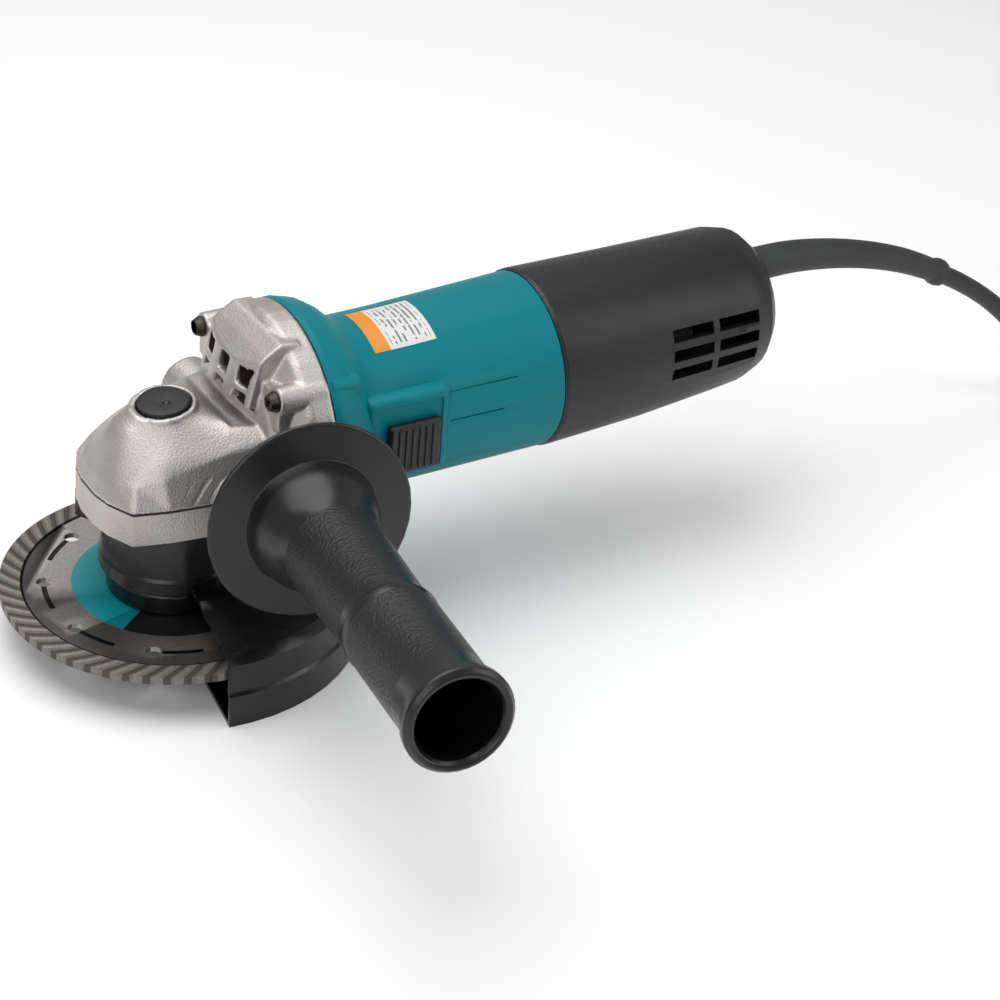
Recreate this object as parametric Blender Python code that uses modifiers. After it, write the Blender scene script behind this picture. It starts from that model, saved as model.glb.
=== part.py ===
"""Angle grinder of the 115 mm class, with side handle, wheel guard, diamond wheel and mains lead.

It is drawn in a design frame: the spindle runs down through X = Y = 0, the motor lies along +X at
Z = 0 and the side handle points to -Y. stand_on_origin() then moves the whole frame, so that the
origin lies on the standing surface, below the middle of the machine.
"""

import math

import bmesh
import bpy
from mathutils import Matrix, Vector

MM = 0.001

# Clearances
GAP = 0.3 * MM  # between solids that touch, or that fit into each other
MERGE = 0.00001

# Head and spindle, along Z
SPINDLE_SEAT_R = 6.0 * MM
SPINDLE_TOP_R = 4.0 * MM
SPINDLE_SHOULDER_R = 9.0 * MM
SPINDLE_THREAD_R = 7.9 * MM
SPINDLE_TOP_Z = 7.2 * MM
SHOULDER_TOP_Z = -33.0 * MM
SHOULDER_Z = -46.0 * MM
SPINDLE_END_Z = -66.5 * MM
HEAD_BOTTOM_Z = -10.8 * MM
HEAD_NOSE_X = -30.6 * MM
HEAD_CORNER = (-24.5 * MM, 22.5 * MM)
SKIRT_Z = -22.3 * MM  # the lower end of the aluminium, on the bearing box too
HEAD_TOP_Z = 16.2 * MM  # at the spindle
HEAD_CREASE = [  # half of the head, nose to motor, in millimetres: where the shoulder meets the dome
    (-27.5, 4, -3.0),
    (-26.0, 11, -3.2),
    (-22.0, 17.5, -3.0),
    (-13.0, 20.0, 1.8),
    (6.0, 22.8, 5.1),
    (32.0, 27.0, 8.7),
]
HEAD_DOME = [
    (-22.3, 3.5, 7.2),
    (-20.2, 8.5, 6.2),
    (-16.4, 13, 4.8),
    (-8.0, 15, 8.2),
    (8.0, 17, 10.4),
    (32.0, 19.5, 11.6),
]
HEAD_CROWN = [
    (-14.6, 3, 14.1),
    (-13.2, 6, 13.2),
    (-10.6, 8.6, 12.4),
    (-4.0, 10.0, 14.2),
    (8.0, 11.0, 13.2),
    (32.0, 12.5, 12.6),
]
CHAMBER_R = 20.8 * MM
CHAMBER_TOP_Z = 0.8 * MM

# Bevel gears: cones that meet at the design frame's origin
RING_TEETH = 28
PINION_TEETH = 9
RING_PITCH_R = 18.5 * MM
GEAR_FACE_SHARE = 0.22  # face width over cone distance
BACKLASH = 0.45 * MM
PIN_CIRCLE_R = 10.2 * MM
PIN_HOLES = 4

# Bearings: bore radius, outside radius, width
NEEDLE_BEARING = (4.0 * MM, 6.3 * MM, 6.0 * MM)
SPINDLE_BEARING = (6.0 * MM, 16.0 * MM, 10.0 * MM)
FRONT_BEARING = (4.5 * MM, 12.0 * MM, 7.0 * MM)
REAR_BEARING = (4.0 * MM, 11.0 * MM, 7.0 * MM)
SPINDLE_BEARING_TOP_Z = -20.2 * MM
FRONT_BEARING_X = 24.0 * MM
REAR_BEARING_X = 152.0 * MM

# Bearing box, below the head
BLOCK_HALF_Y = 17.5 * MM  # the block with the exhaust grille
BULGE_R = 50.0 * MM  # its front, seen from above
HOLE_Y = 11.7 * MM
HOLE_ROWS_Z = (16.6 * MM, 24.9 * MM)
HOLE_SIZE = (6.2 * MM, 6.2 * MM)
SCREW_SEAT = 3.4 * MM  # how deep the screws of the bearing box sit in it
BOX_REAR_X = 18.3 * MM
BOX_SCREWS = ((-22.0 * MM, 17.0 * MM), (13.5 * MM, 23.6 * MM))  # on both sides
GEAR_BORE_R = 19.7 * MM  # room for the ring gear
GEAR_BORE_Z = -15.3 * MM
BOX_NECK_R = 21.2 * MM
BOX_END_Z = -44.5 * MM

# Wheel and what clamps it
WHEEL_R = 57.0 * MM
WHEEL_BORE_R = 11.1 * MM
WHEEL_CORE = 1.8 * MM
WHEEL_RIM = 2.6 * MM
WHEEL_RIM_WIDTH = 7.0 * MM
WHEEL_Z = -56.0 * MM
WHEEL_HOLES = 9
WHEEL_HOLE_R = 2.7 * MM
WHEEL_HOLE_CIRCLE_R = 42.0 * MM
WHEEL_HOLE_ANGLE = math.radians(117.6)
FLANGE_R = 21.5 * MM
NUT_R = 19.5 * MM
NUT_THICK = 5.5 * MM

# Guard
GUARD_R = 64.0 * MM
GUARD_SHEET = 1.5 * MM
GUARD_TOP_Z = -46.0 * MM
GUARD_BOTTOM_Z = -71.0 * MM
GUARD_LIP_R = 31.0 * MM
GUARD_FROM = math.radians(-98)
GUARD_SPAN = math.radians(186)
COLLAR_TOP_Z = -23.2 * MM
EAR_ANGLE = math.radians(30)  # the clamp ears, from +Y towards -X
COLLAR_WALL = 1.8 * MM

# Motor, along X
JOINT_X = 40.6 * MM  # head to motor housing
SPLIT_X = 131.0 * MM  # motor housing to rear cover
REAR_X = 225.0 * MM
HEAD_FLANGE_R = 39.2 * MM
BARREL_R = 29.8 * MM
BARREL_BORE_R = 27.0 * MM
NECK_R = 26.6 * MM
NECK_END_X = 163.0 * MM
FLANGE_SEAT_X = 23.0 * MM
FLANGE_SCREW_YZ = (27.0 * MM, 23.0 * MM)
STATOR_X = (68.0 * MM, 108.0 * MM)
STATOR_BORE_R = 17.6 * MM
ARMATURE_R = 17.0 * MM
COMMUTATOR_X = (134.0 * MM, 148.0 * MM)
COMMUTATOR_R = 11.5 * MM
SHAFT_R = 5.0 * MM
FAN_X = (43.5 * MM, 51.0 * MM)
FAN_R = 27.5 * MM
ARMATURE_SLOTS = 12
FAN_BLADES = 11

# Rear cover
COVER_R = 31.3 * MM
COVER_WALL = 2.4 * MM
COVER_SCREW_X = 158.0 * MM
VENT_ROWS_Z = (12.5 * MM, 5.5 * MM, -1.5 * MM)
VENT_COLUMNS_X = (184.0 * MM, 203.5 * MM)
VENT_SIZE = (17.0 * MM, 4.3 * MM)

# Controls
BUTTON_X = -3.4 * MM
BUTTON_R = 8.7 * MM
BUTTON_TRAVEL = 4.0 * MM
BUTTON_THICK = 3.6 * MM
SLIDER_X = (62.0 * MM, 81.5 * MM)
SLIDER_Z = (-11.5 * MM, 7.0 * MM)
SLIDER_TRAVEL = 4.0 * MM
ROD_Y = -26.4 * MM
ROD_Z = -2.0 * MM

# Side handle, along its own axis, measured from the front of its flange
HANDLE_AT = Vector((21.1, -57.7, -4.0)) * MM
HANDLE_FORWARD = math.radians(7.6)  # towards the nose
HANDLE_UP = math.radians(4.0)
HANDLE_LENGTH = 123.7 * MM
HANDLE_FLANGE_R = 34.4 * MM
HANDLE_NECK = 17.0 * MM
HANDLE_NECK_R = 12.0 * MM
HANDLE_GRIP_R = 15.6 * MM
HANDLE_END_R = 17.4 * MM
HANDLE_BORE_R = 13.3 * MM
HANDLE_BORE_DEPTH = 40.0 * MM
STUD_R = 3.85 * MM
STUD_REACH = 12.5 * MM  # thread inside the head

# Cord, in the design frame: the route's own points from the guard's tip to the coil
CORD_R = 3.5 * MM
CORD_GUARD_PATH = (  # comes out of the rear cover
    (215.0, 0.0, 15.9),
    (219.4, 0.0, 16.0),
    (224.4, 0.0, 16.2),
    (240.0, 0.0, 16.4),
    (254.0, 0.0, 15.0),
    (268.0, 0.0, 12.4),
    (282.0, 0.0, 8.6),
    (295.0, 0.0, 4.0),
    (306.0, 0.0, -1.0),
    (315.5, 0.0, -6.0),
)
CORD_ROUTE = (
    (315.8, 0.0, -6.2),
    (324.0, 0.0, -10.9),
    (333.0, 0.0, -16.8),
    (342.0, 0.0, -23.6),
    (350.5, -0.4, -31.2),
    (358.5, -1.4, -39.6),
    (367.0, -3.4, -48.0),
    (376.5, -7.0, -55.6),
    (387.0, -12.6, -61.4),
    (398.0, -20.2, -64.8),
    (408.6, -29.6, -66.2),
    (417.8, -37.9, -66.4),
    (426.8, -45.2, -66.4),
    (435.4, -51.5, -66.4),
)
COIL_AT = (471.1, -0.5)
COIL_RADII = (34.0 * MM, 55.0 * MM)  # innermost and outermost turn
COIL_LAYERS = 2
COIL_ENTRY = math.radians(-125)  # where the cord meets the coil, and where its end leaves
COIL_LIFT = 1.1 * MM  # the tie runs below the turns


# ---------------------------------------------------------------- tools


def clear_scene():
    for thing in list(bpy.data.objects):
        bpy.data.objects.remove(thing)


def make_collection(name):
    collection = bpy.data.collections.new(name)
    bpy.context.scene.collection.children.link(collection)
    return collection


def make_material(name, colour, roughness, metallic=0.0):
    """A plain Principled material from an sRGB colour."""
    material = bpy.data.materials.new(name)
    material.use_nodes = True
    shader = material.node_tree.nodes["Principled BSDF"]
    linear = [c / 12.92 if c <= 0.04045 else ((c + 0.055) / 1.055) ** 2.4 for c in colour]
    shader.inputs["Base Color"].default_value = (*linear, 1.0)
    shader.inputs["Roughness"].default_value = roughness
    shader.inputs["Metallic"].default_value = metallic
    return material


clear_scene()
PARTS = make_collection("angle_grinder")
CUTTERS = make_collection("cutters")
FRAME = bpy.data.objects.new("design_frame", None)
PARTS.objects.link(FRAME)

MATERIALS = {
    "cast_aluminium": make_material("cast_aluminium", (0.72, 0.70, 0.69), 0.45, 1.0),
    "teal_plastic": make_material("teal_plastic", (0.0, 0.49, 0.52), 0.4),
    "black_plastic": make_material("black_plastic", (0.06, 0.06, 0.065), 0.45),
    "black_paint": make_material("black_paint", (0.04, 0.04, 0.045), 0.3),
    "black_rubber": make_material("black_rubber", (0.09, 0.1, 0.1), 0.7),
    "steel": make_material("steel", (0.6, 0.6, 0.62), 0.3, 1.0),
    "dark_steel": make_material("dark_steel", (0.24, 0.23, 0.22), 0.4, 1.0),
    "laminations": make_material("laminations", (0.35, 0.35, 0.37), 0.5, 1.0),
    "copper": make_material("copper", (0.72, 0.4, 0.25), 0.35, 1.0),
    "brass": make_material("brass", (0.75, 0.62, 0.32), 0.3, 1.0),
    "carbon": make_material("carbon", (0.1, 0.1, 0.1), 0.8),
    "wheel_steel": make_material("wheel_steel", (0.62, 0.6, 0.6), 0.35, 1.0),
    "fibre": make_material("fibre", (0.5, 0.3, 0.18), 0.7),
}


def as_object(name, bm, material=None, frame=None):
    """Turns a bmesh into an object: a part if it has a material, and otherwise a helper."""
    mesh = bpy.data.meshes.new(name)
    bm.to_mesh(mesh)
    bm.free()
    thing = bpy.data.objects.new(name, mesh)
    thing.parent = frame or FRAME
    if material:
        mesh.materials.append(MATERIALS[material])
        PARTS.objects.link(thing)
    else:
        CUTTERS.objects.link(thing)
        thing.hide_render = True
        thing.display_type = "WIRE"
    return thing


def combine(target, operation, tools):
    for tool in tools:
        modifier = target.modifiers.new(tool.name, "BOOLEAN")
        modifier.operation = operation
        modifier.object = tool
        modifier.solver = "EXACT"
    return target


def cut(target, *tools):
    return combine(target, "DIFFERENCE", tools)


def join(target, *tools):
    return combine(target, "UNION", tools)


def box(name, low, high, material=None, bevel=0.0, frame=None):
    """A block between two corners."""
    bm = bmesh.new()
    bmesh.ops.create_cube(bm, size=1.0)
    size = [b - a for a, b in zip(low, high)]
    bmesh.ops.scale(bm, vec=size, verts=bm.verts)
    bmesh.ops.translate(bm, vec=[(a + b) / 2 for a, b in zip(low, high)], verts=bm.verts)
    thing = as_object(name, bm, material, frame)
    if bevel:
        modifier = thing.modifiers.new("rounded_edges", "BEVEL")
        modifier.width = bevel
        modifier.segments = 1
    return thing


def rod(name, radius, start, end, material=None, segments=16, end_radius=None, frame=None):
    """A cylinder, or a cone, from one point to another."""
    start, end = Vector(start), Vector(end)
    bm = bmesh.new()
    top = radius if end_radius is None else end_radius
    bmesh.ops.create_cone(
        bm, cap_ends=True, segments=segments, radius1=radius, radius2=top, depth=(end - start).length
    )
    turn = (end - start).to_track_quat("Z", "Y").to_matrix().to_4x4()
    bmesh.ops.transform(bm, matrix=Matrix.Translation((start + end) / 2) @ turn, verts=bm.verts)
    return as_object(name, bm, material, frame)


def turned(name, profile, material=None, segments=32, axis="Z", closed=False, frame=None):
    """A turned shape. The profile holds (radius, height) and runs down its outer side."""
    bm = bmesh.new()
    verts = [bm.verts.new((radius, 0, height)) for radius, height in profile]
    for first, second in zip(verts, verts[1:]):
        bm.edges.new((first, second))
    if closed:
        bm.edges.new((verts[-1], verts[0]))
    thing = as_object(name, bm, material, frame)
    if axis == "X":
        thing.rotation_euler = (0, math.pi / 2, 0)
    screw = thing.modifiers.new("turned", "SCREW")
    screw.steps = screw.render_steps = segments
    screw.use_merge_vertices = True
    screw.merge_threshold = MERGE
    screw.use_smooth_shade = True
    return thing


def ring(name, inner, outer, low, high, material=None, segments=32, axis="Z", chamfer=0.0):
    """A turned ring, with its outer edges chamfered."""
    profile = [
        (inner, high),
        (outer - chamfer, high),
        (outer, high - chamfer),
        (outer, low + chamfer),
        (outer - chamfer, low),
        (inner, low),
    ]
    if not chamfer:
        profile = [(inner, high), (outer, high), (outer, low), (inner, low)]
    return turned(name, profile, material, segments, axis, closed=True)


def section_loft(name, stations, material=None, segments=28, capped=(True, True)):
    """A body along X through round sections, each (x, radius, centre height)."""
    bm = bmesh.new()
    x, radius, height = stations[0]
    made = bmesh.ops.create_circle(bm, segments=segments, radius=radius, cap_ends=capped[0])
    turn = Matrix.Rotation(math.pi / 2, 4, "Y")
    place = Matrix.Translation((x, 0, height)) @ turn
    bmesh.ops.transform(bm, matrix=place, verts=made["verts"])
    edges = list(bm.edges)
    for (x0, r0, z0), (x1, r1, z1) in zip(stations, stations[1:]):
        grown = bmesh.ops.extrude_edge_only(bm, edges=edges)["geom"]
        verts = [part for part in grown if isinstance(part, bmesh.types.BMVert)]
        edges = [part for part in grown if isinstance(part, bmesh.types.BMEdge)]
        scale = (1, r1 / r0, r1 / r0)
        about = Matrix.Translation((-x0, 0, -z0))
        bmesh.ops.scale(bm, vec=scale, verts=verts, space=about)
        bmesh.ops.translate(bm, vec=(x1 - x0, 0, z1 - z0), verts=verts)
    if capped[1]:
        bmesh.ops.contextual_create(bm, geom=edges)
    bmesh.ops.recalc_face_normals(bm, faces=bm.faces)
    if not all(capped):
        face_out(bm)
    return as_object(name, bm, material)


def face_out(bm):
    """Turns the faces of an open surface round the X axis outwards."""
    face = max(bm.faces, key=lambda f: abs(f.calc_center_median().z))
    if face.normal.z * face.calc_center_median().z < 0:
        bmesh.ops.reverse_faces(bm, faces=bm.faces)


def prism(name, outline, low, high, material=None, frame=None):
    """A flat outline in X and Y, raised from one height to another."""
    bm = bmesh.new()
    base = bm.faces.new([bm.verts.new((x, y, low)) for x, y in outline])
    raised = bmesh.ops.extrude_face_region(bm, geom=[base])["geom"]
    verts = [part for part in raised if isinstance(part, bmesh.types.BMVert)]
    bmesh.ops.translate(bm, vec=(0, 0, high - low), verts=verts)
    bmesh.ops.recalc_face_normals(bm, faces=bm.faces)
    return as_object(name, bm, material, frame)


def swept(name, profile, start, span, steps, material=None):
    """A closed profile in radius and height, carried part of the way round Z."""
    bm = bmesh.new()
    face = bm.faces.new([bm.verts.new((radius, 0, height)) for radius, height in profile])
    bmesh.ops.rotate(bm, cent=(0, 0, 0), matrix=Matrix.Rotation(start, 3, "Z"), verts=bm.verts)
    bmesh.ops.spin(
        bm, geom=[face, *face.edges, *face.verts], cent=(0, 0, 0), axis=(0, 0, 1), angle=span, steps=steps
    )
    bmesh.ops.recalc_face_normals(bm, faces=bm.faces)
    return as_object(name, bm, material)


def tube(name, points, radii, material, closed=False, sides=3):
    """A round tube through points, as a poly curve with filled caps."""
    curve = bpy.data.curves.new(name, "CURVE")
    curve.dimensions = "3D"
    curve.bevel_depth = 1.0
    curve.bevel_resolution = sides
    curve.use_fill_caps = not closed
    spline = curve.splines.new("POLY")
    spline.points.add(len(points) - 1)
    spline.use_cyclic_u = closed
    for point, place, radius in zip(spline.points, points, radii):
        point.co = (*place, 1)
        point.radius = radius
    curve.materials.append(MATERIALS[material])
    thing = bpy.data.objects.new(name, curve)
    thing.parent = FRAME
    PARTS.objects.link(thing)
    return thing


def smooth_path(points, per_span):
    """Points along a Catmull-Rom curve through the given ones."""
    points = [Vector(point) for point in points]
    ends = [2 * points[0] - points[1], *points, 2 * points[-1] - points[-2]]
    path = []
    for a, b, c, d in zip(ends, ends[1:], ends[2:], ends[3:]):
        for step in range(per_span):
            t = step / per_span
            path.append(
                0.5
                * (
                    2 * b
                    + (c - a) * t
                    + (2 * a - 5 * b + 4 * c - d) * t**2
                    + (3 * b - 3 * c + d - a) * t**3
                )
            )
    return [*path, points[-1]]


def around(count, radius, first=0.0):
    """Points at equal angles on a circle, as (x, y)."""
    turn = 2 * math.pi / count
    return [
        (radius * math.cos(first + k * turn), radius * math.sin(first + k * turn)) for k in range(count)
    ]


def pan_screw(name, at, direction, thread_r, length, material="dark_steel", frame=None):
    """A pan head screw with a cross recess. `at` is the middle of its seat."""
    at, direction = Vector(at), Vector(direction).normalized()
    head_r = 1.85 * thread_r
    head = 1.3 * thread_r
    shank = rod(
        name, thread_r, at + direction * head * 0.5, at - direction * length, material, 10, frame=frame
    )
    top = at + direction * head
    cap = rod(name + "_head", head_r, at, top, segments=14, end_radius=0.7 * head_r, frame=frame)
    side = direction.orthogonal().normalized()
    wing = direction.cross(side)
    join(shank, cap)
    slots = []
    slot = 0.18 * head_r
    for long, short in ((side, wing), (wing, side)):
        bm = bmesh.new()
        bmesh.ops.create_cube(bm, size=1.0)
        bmesh.ops.scale(bm, vec=(1.1 * head_r, 2 * slot, head), verts=bm.verts)
        turn = Matrix((long, short, direction)).transposed().to_4x4()
        if turn.determinant() < 0:
            turn = Matrix((long, -short, direction)).transposed().to_4x4()
        place = Matrix.Translation(top) @ turn
        bmesh.ops.transform(bm, matrix=place, verts=bm.verts)
        slots.append(as_object(name + "_slot", bm, frame=frame))
    cut(shank, *slots)
    return shank


# ---------------------------------------------------------------- gears


def gear_cones():
    """Radius of the pinion's pitch circle, and the half angles of both pitch cones."""
    pinion_r = RING_PITCH_R * PINION_TEETH / RING_TEETH
    ring_angle = math.atan2(RING_PITCH_R, pinion_r)
    return pinion_r, ring_angle, math.pi / 2 - ring_angle


def tooth_sizes():
    """Height above and below the pitch line, and half widths at tip, pitch line and root."""
    module = 2 * RING_PITCH_R / RING_TEETH
    tip, root = 0.75 * module, 1.05 * module
    half = math.pi * module / 4 - BACKLASH / 2
    slope = math.tan(math.radians(22))
    return tip, root, half - tip * slope, half + 0.55 * root * slope


def pinion():
    """Straight bevel pinion on the motor shaft: a toothed outline that shrinks to the apex."""
    pinion_r, _, cone = gear_cones()
    tip, root, tip_half, root_half = tooth_sizes()
    bm = bmesh.new()
    heel_x = RING_PITCH_R
    outline = []
    for k in range(PINION_TEETH):
        middle = -math.pi / 2 + 2 * math.pi * k / PINION_TEETH
        low = pinion_r - root / math.cos(cone)
        high = pinion_r + tip / math.cos(cone)
        corners = ((low, root_half, -1), (high, tip_half, -1), (high, tip_half, 1), (low, root_half, 1))
        for radius, half, side in corners:
            turn = middle + side * half / pinion_r * (1.0 if radius == high else 0.82)
            outline.append(bm.verts.new((heel_x, radius * math.cos(turn), radius * math.sin(turn))))
    heel = bm.faces.new(outline)
    grown = bmesh.ops.extrude_face_region(bm, geom=[heel])["geom"]
    verts = [part for part in grown if isinstance(part, bmesh.types.BMVert)]
    share = 1 - GEAR_FACE_SHARE
    bmesh.ops.scale(bm, vec=(share, share, share), verts=verts)
    bmesh.ops.recalc_face_normals(bm, faces=bm.faces)
    gear = as_object("pinion", bm, "steel")
    hub_r = pinion_r - root / math.cos(cone) - 0.05 * MM
    join(gear, rod("pinion_hub", hub_r, (heel_x - 1 * MM, 0, 0), (heel_x + 3.2 * MM, 0, 0), segments=18))
    toe_x = heel_x * share
    return cut(
        gear, rod("pinion_bore", 3.0 * MM, (toe_x - 2 * MM, 0, 0), (heel_x + 6 * MM, 0, 0), segments=14)
    )


def ring_gear():
    """Straight bevel ring gear below the pinion, with holes in its web for the lock pin."""
    pinion_r, cone, _ = gear_cones()
    tip, root, tip_half, root_half = tooth_sizes()
    share = 1 - GEAR_FACE_SHARE
    back_z = -10.5 * MM
    bm = bmesh.new()
    rows = []
    for k in range(RING_TEETH):
        middle = (k + 0.5) * 2 * math.pi / RING_TEETH
        corners = ((-root, root_half, -1), (tip, tip_half, -1), (tip, tip_half, 1), (-root, root_half, 1))
        for height, half, side in corners:
            turn = middle + side * half / RING_PITCH_R
            radius = RING_PITCH_R + height * math.cos(cone)
            z = -pinion_r + height * math.sin(cone)
            direction = Vector((math.cos(turn), math.sin(turn), 0))
            heel = direction * radius + Vector((0, 0, z))
            toe = heel * share
            floor = Vector((0, 0, back_z))
            outer = direction * RING_PITCH_R
            inner = direction * RING_PITCH_R * share
            rows.append([bm.verts.new(p) for p in (heel, toe, inner + floor, outer + floor)])
    for row, following in zip(rows, [*rows[1:], rows[0]]):
        for k in range(4):
            bm.faces.new((row[k], row[(k + 1) % 4], following[(k + 1) % 4], following[k]))
    bmesh.ops.recalc_face_normals(bm, faces=bm.faces)
    gear = as_object("ring_gear", bm, "steel")
    bore = SPINDLE_SEAT_R + GAP
    web = turned(
        "ring_gear_web",
        [
            (bore, -7.4 * MM),
            (RING_PITCH_R * share + 0.6 * MM, -8.4 * MM),
            (RING_PITCH_R - 0.4 * MM, -9.4 * MM),
            (RING_PITCH_R - 0.4 * MM, -11.5 * MM),
            (14.0 * MM, -14.5 * MM),
            (bore, -14.5 * MM),
        ],
        closed=True,
    )
    join(gear, web)
    for k, (x, y) in enumerate(around(PIN_HOLES, PIN_CIRCLE_R, math.pi)):
        low, high = (x, y, -20 * MM), (x, y, -5 * MM)
        cut(gear, rod(f"lock_hole_{k}", 2.4 * MM, low, high, segments=12))
    return gear


# ---------------------------------------------------------------- head


def head_outline(inset=0.0):
    """The head seen from above: a blunt nose, two corners, and sides that widen to the motor."""
    corner_x, corner_y = HEAD_CORNER
    half = [
        (HEAD_NOSE_X, 5 * MM),
        (HEAD_NOSE_X + 1.6 * MM, 13 * MM),
        (corner_x, corner_y),
        (corner_x + 12 * MM, corner_y + 3 * MM),
        (8 * MM, 28 * MM),
        (32 * MM, 31.5 * MM),
    ]
    whole = half + [(x, -y) for x, y in reversed(half)]
    return [(x + inset, y - math.copysign(inset, y)) for x, y in whole]


def slice_off(thing, point, normal):
    """Cuts away what lies beyond a plane, and closes the cut."""
    bm = bmesh.new()
    bm.from_mesh(thing.data)
    everything = [*bm.verts, *bm.edges, *bm.faces]
    bmesh.ops.bisect_plane(bm, geom=everything, plane_co=point, plane_no=normal, clear_outer=True)
    rim = [edge for edge in bm.edges if edge.is_boundary]
    bmesh.ops.contextual_create(bm, geom=rim)
    bmesh.ops.recalc_face_normals(bm, faces=bm.faces)
    bm.to_mesh(thing.data)
    bm.free()


def head_body():
    """The cast head before it is hollowed: sloping shoulders up to a crease, then a low dome."""
    base = [(x / MM, y / MM, HEAD_BOTTOM_Z / MM) for x, y in head_outline()[: len(HEAD_CREASE)]]
    bm = bmesh.new()
    loops = []
    for half in (base, HEAD_CREASE, HEAD_DOME, HEAD_CROWN):
        whole = half + [(x, -y, z) for x, y, z in reversed(half)]
        loops.append([bm.verts.new(Vector(corner) * MM) for corner in whole])
    count = len(loops[0])
    for lower, upper in zip(loops, loops[1:]):
        for k in range(count):
            after = (k + 1) % count
            bm.faces.new((lower[k], lower[after], upper[after], upper[k]))
    for loop in (loops[0], loops[-1]):
        for k in range(count // 2 - 1):
            bm.faces.new((loop[k], loop[k + 1], loop[-k - 2], loop[-k - 1]))
    bmesh.ops.recalc_face_normals(bm, faces=bm.faces)
    body = as_object("gear_housing", bm, "cast_aluminium")
    modifier = body.modifiers.new("cast_edges", "BEVEL")
    modifier.width = 0.8 * MM
    modifier.segments = 1
    modifier.limit_method = "ANGLE"
    modifier.angle_limit = math.radians(28)
    skirt = prism("head_skirt", head_outline(0.6 * MM), SKIRT_Z, HEAD_BOTTOM_Z + 1 * MM)
    front = BOX_REAR_X + GAP
    slice_off(skirt, (front, 0, 0), (-1, 0, 0))
    join(body, skirt)
    return body


def side_prism(name, outline, half_width):
    """A prism along Y from an outline of (x, z) in millimetres."""
    bm = bmesh.new()
    face = bm.faces.new([bm.verts.new((x * MM, -half_width, z * MM)) for x, z in outline])
    grown = bmesh.ops.extrude_face_region(bm, geom=[face])["geom"]
    verts = [part for part in grown if isinstance(part, bmesh.types.BMVert)]
    bmesh.ops.translate(bm, vec=(0, 2 * half_width, 0), verts=verts)
    bmesh.ops.recalc_face_normals(bm, faces=bm.faces)
    return as_object(name, bm)


def exhaust_block():
    """The raised block on the head's back, whose curved front holds the exhaust grille."""
    side = [(9, 6), (36, 6), (36, 36.5), (29.5, 37), (24, 33.5), (18.2, 28.8), (13.6, 9.5)]
    block = side_prism("exhaust_block", side, BLOCK_HALF_Y)
    low, high = (13.8 * MM + BULGE_R, 0, 5 * MM), (23.4 * MM + BULGE_R, 0, 45 * MM)
    bulge = rod("exhaust_bulge", BULGE_R, low, high, segments=56, end_radius=BULGE_R)
    return combine(block, "INTERSECT", [bulge])


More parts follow.
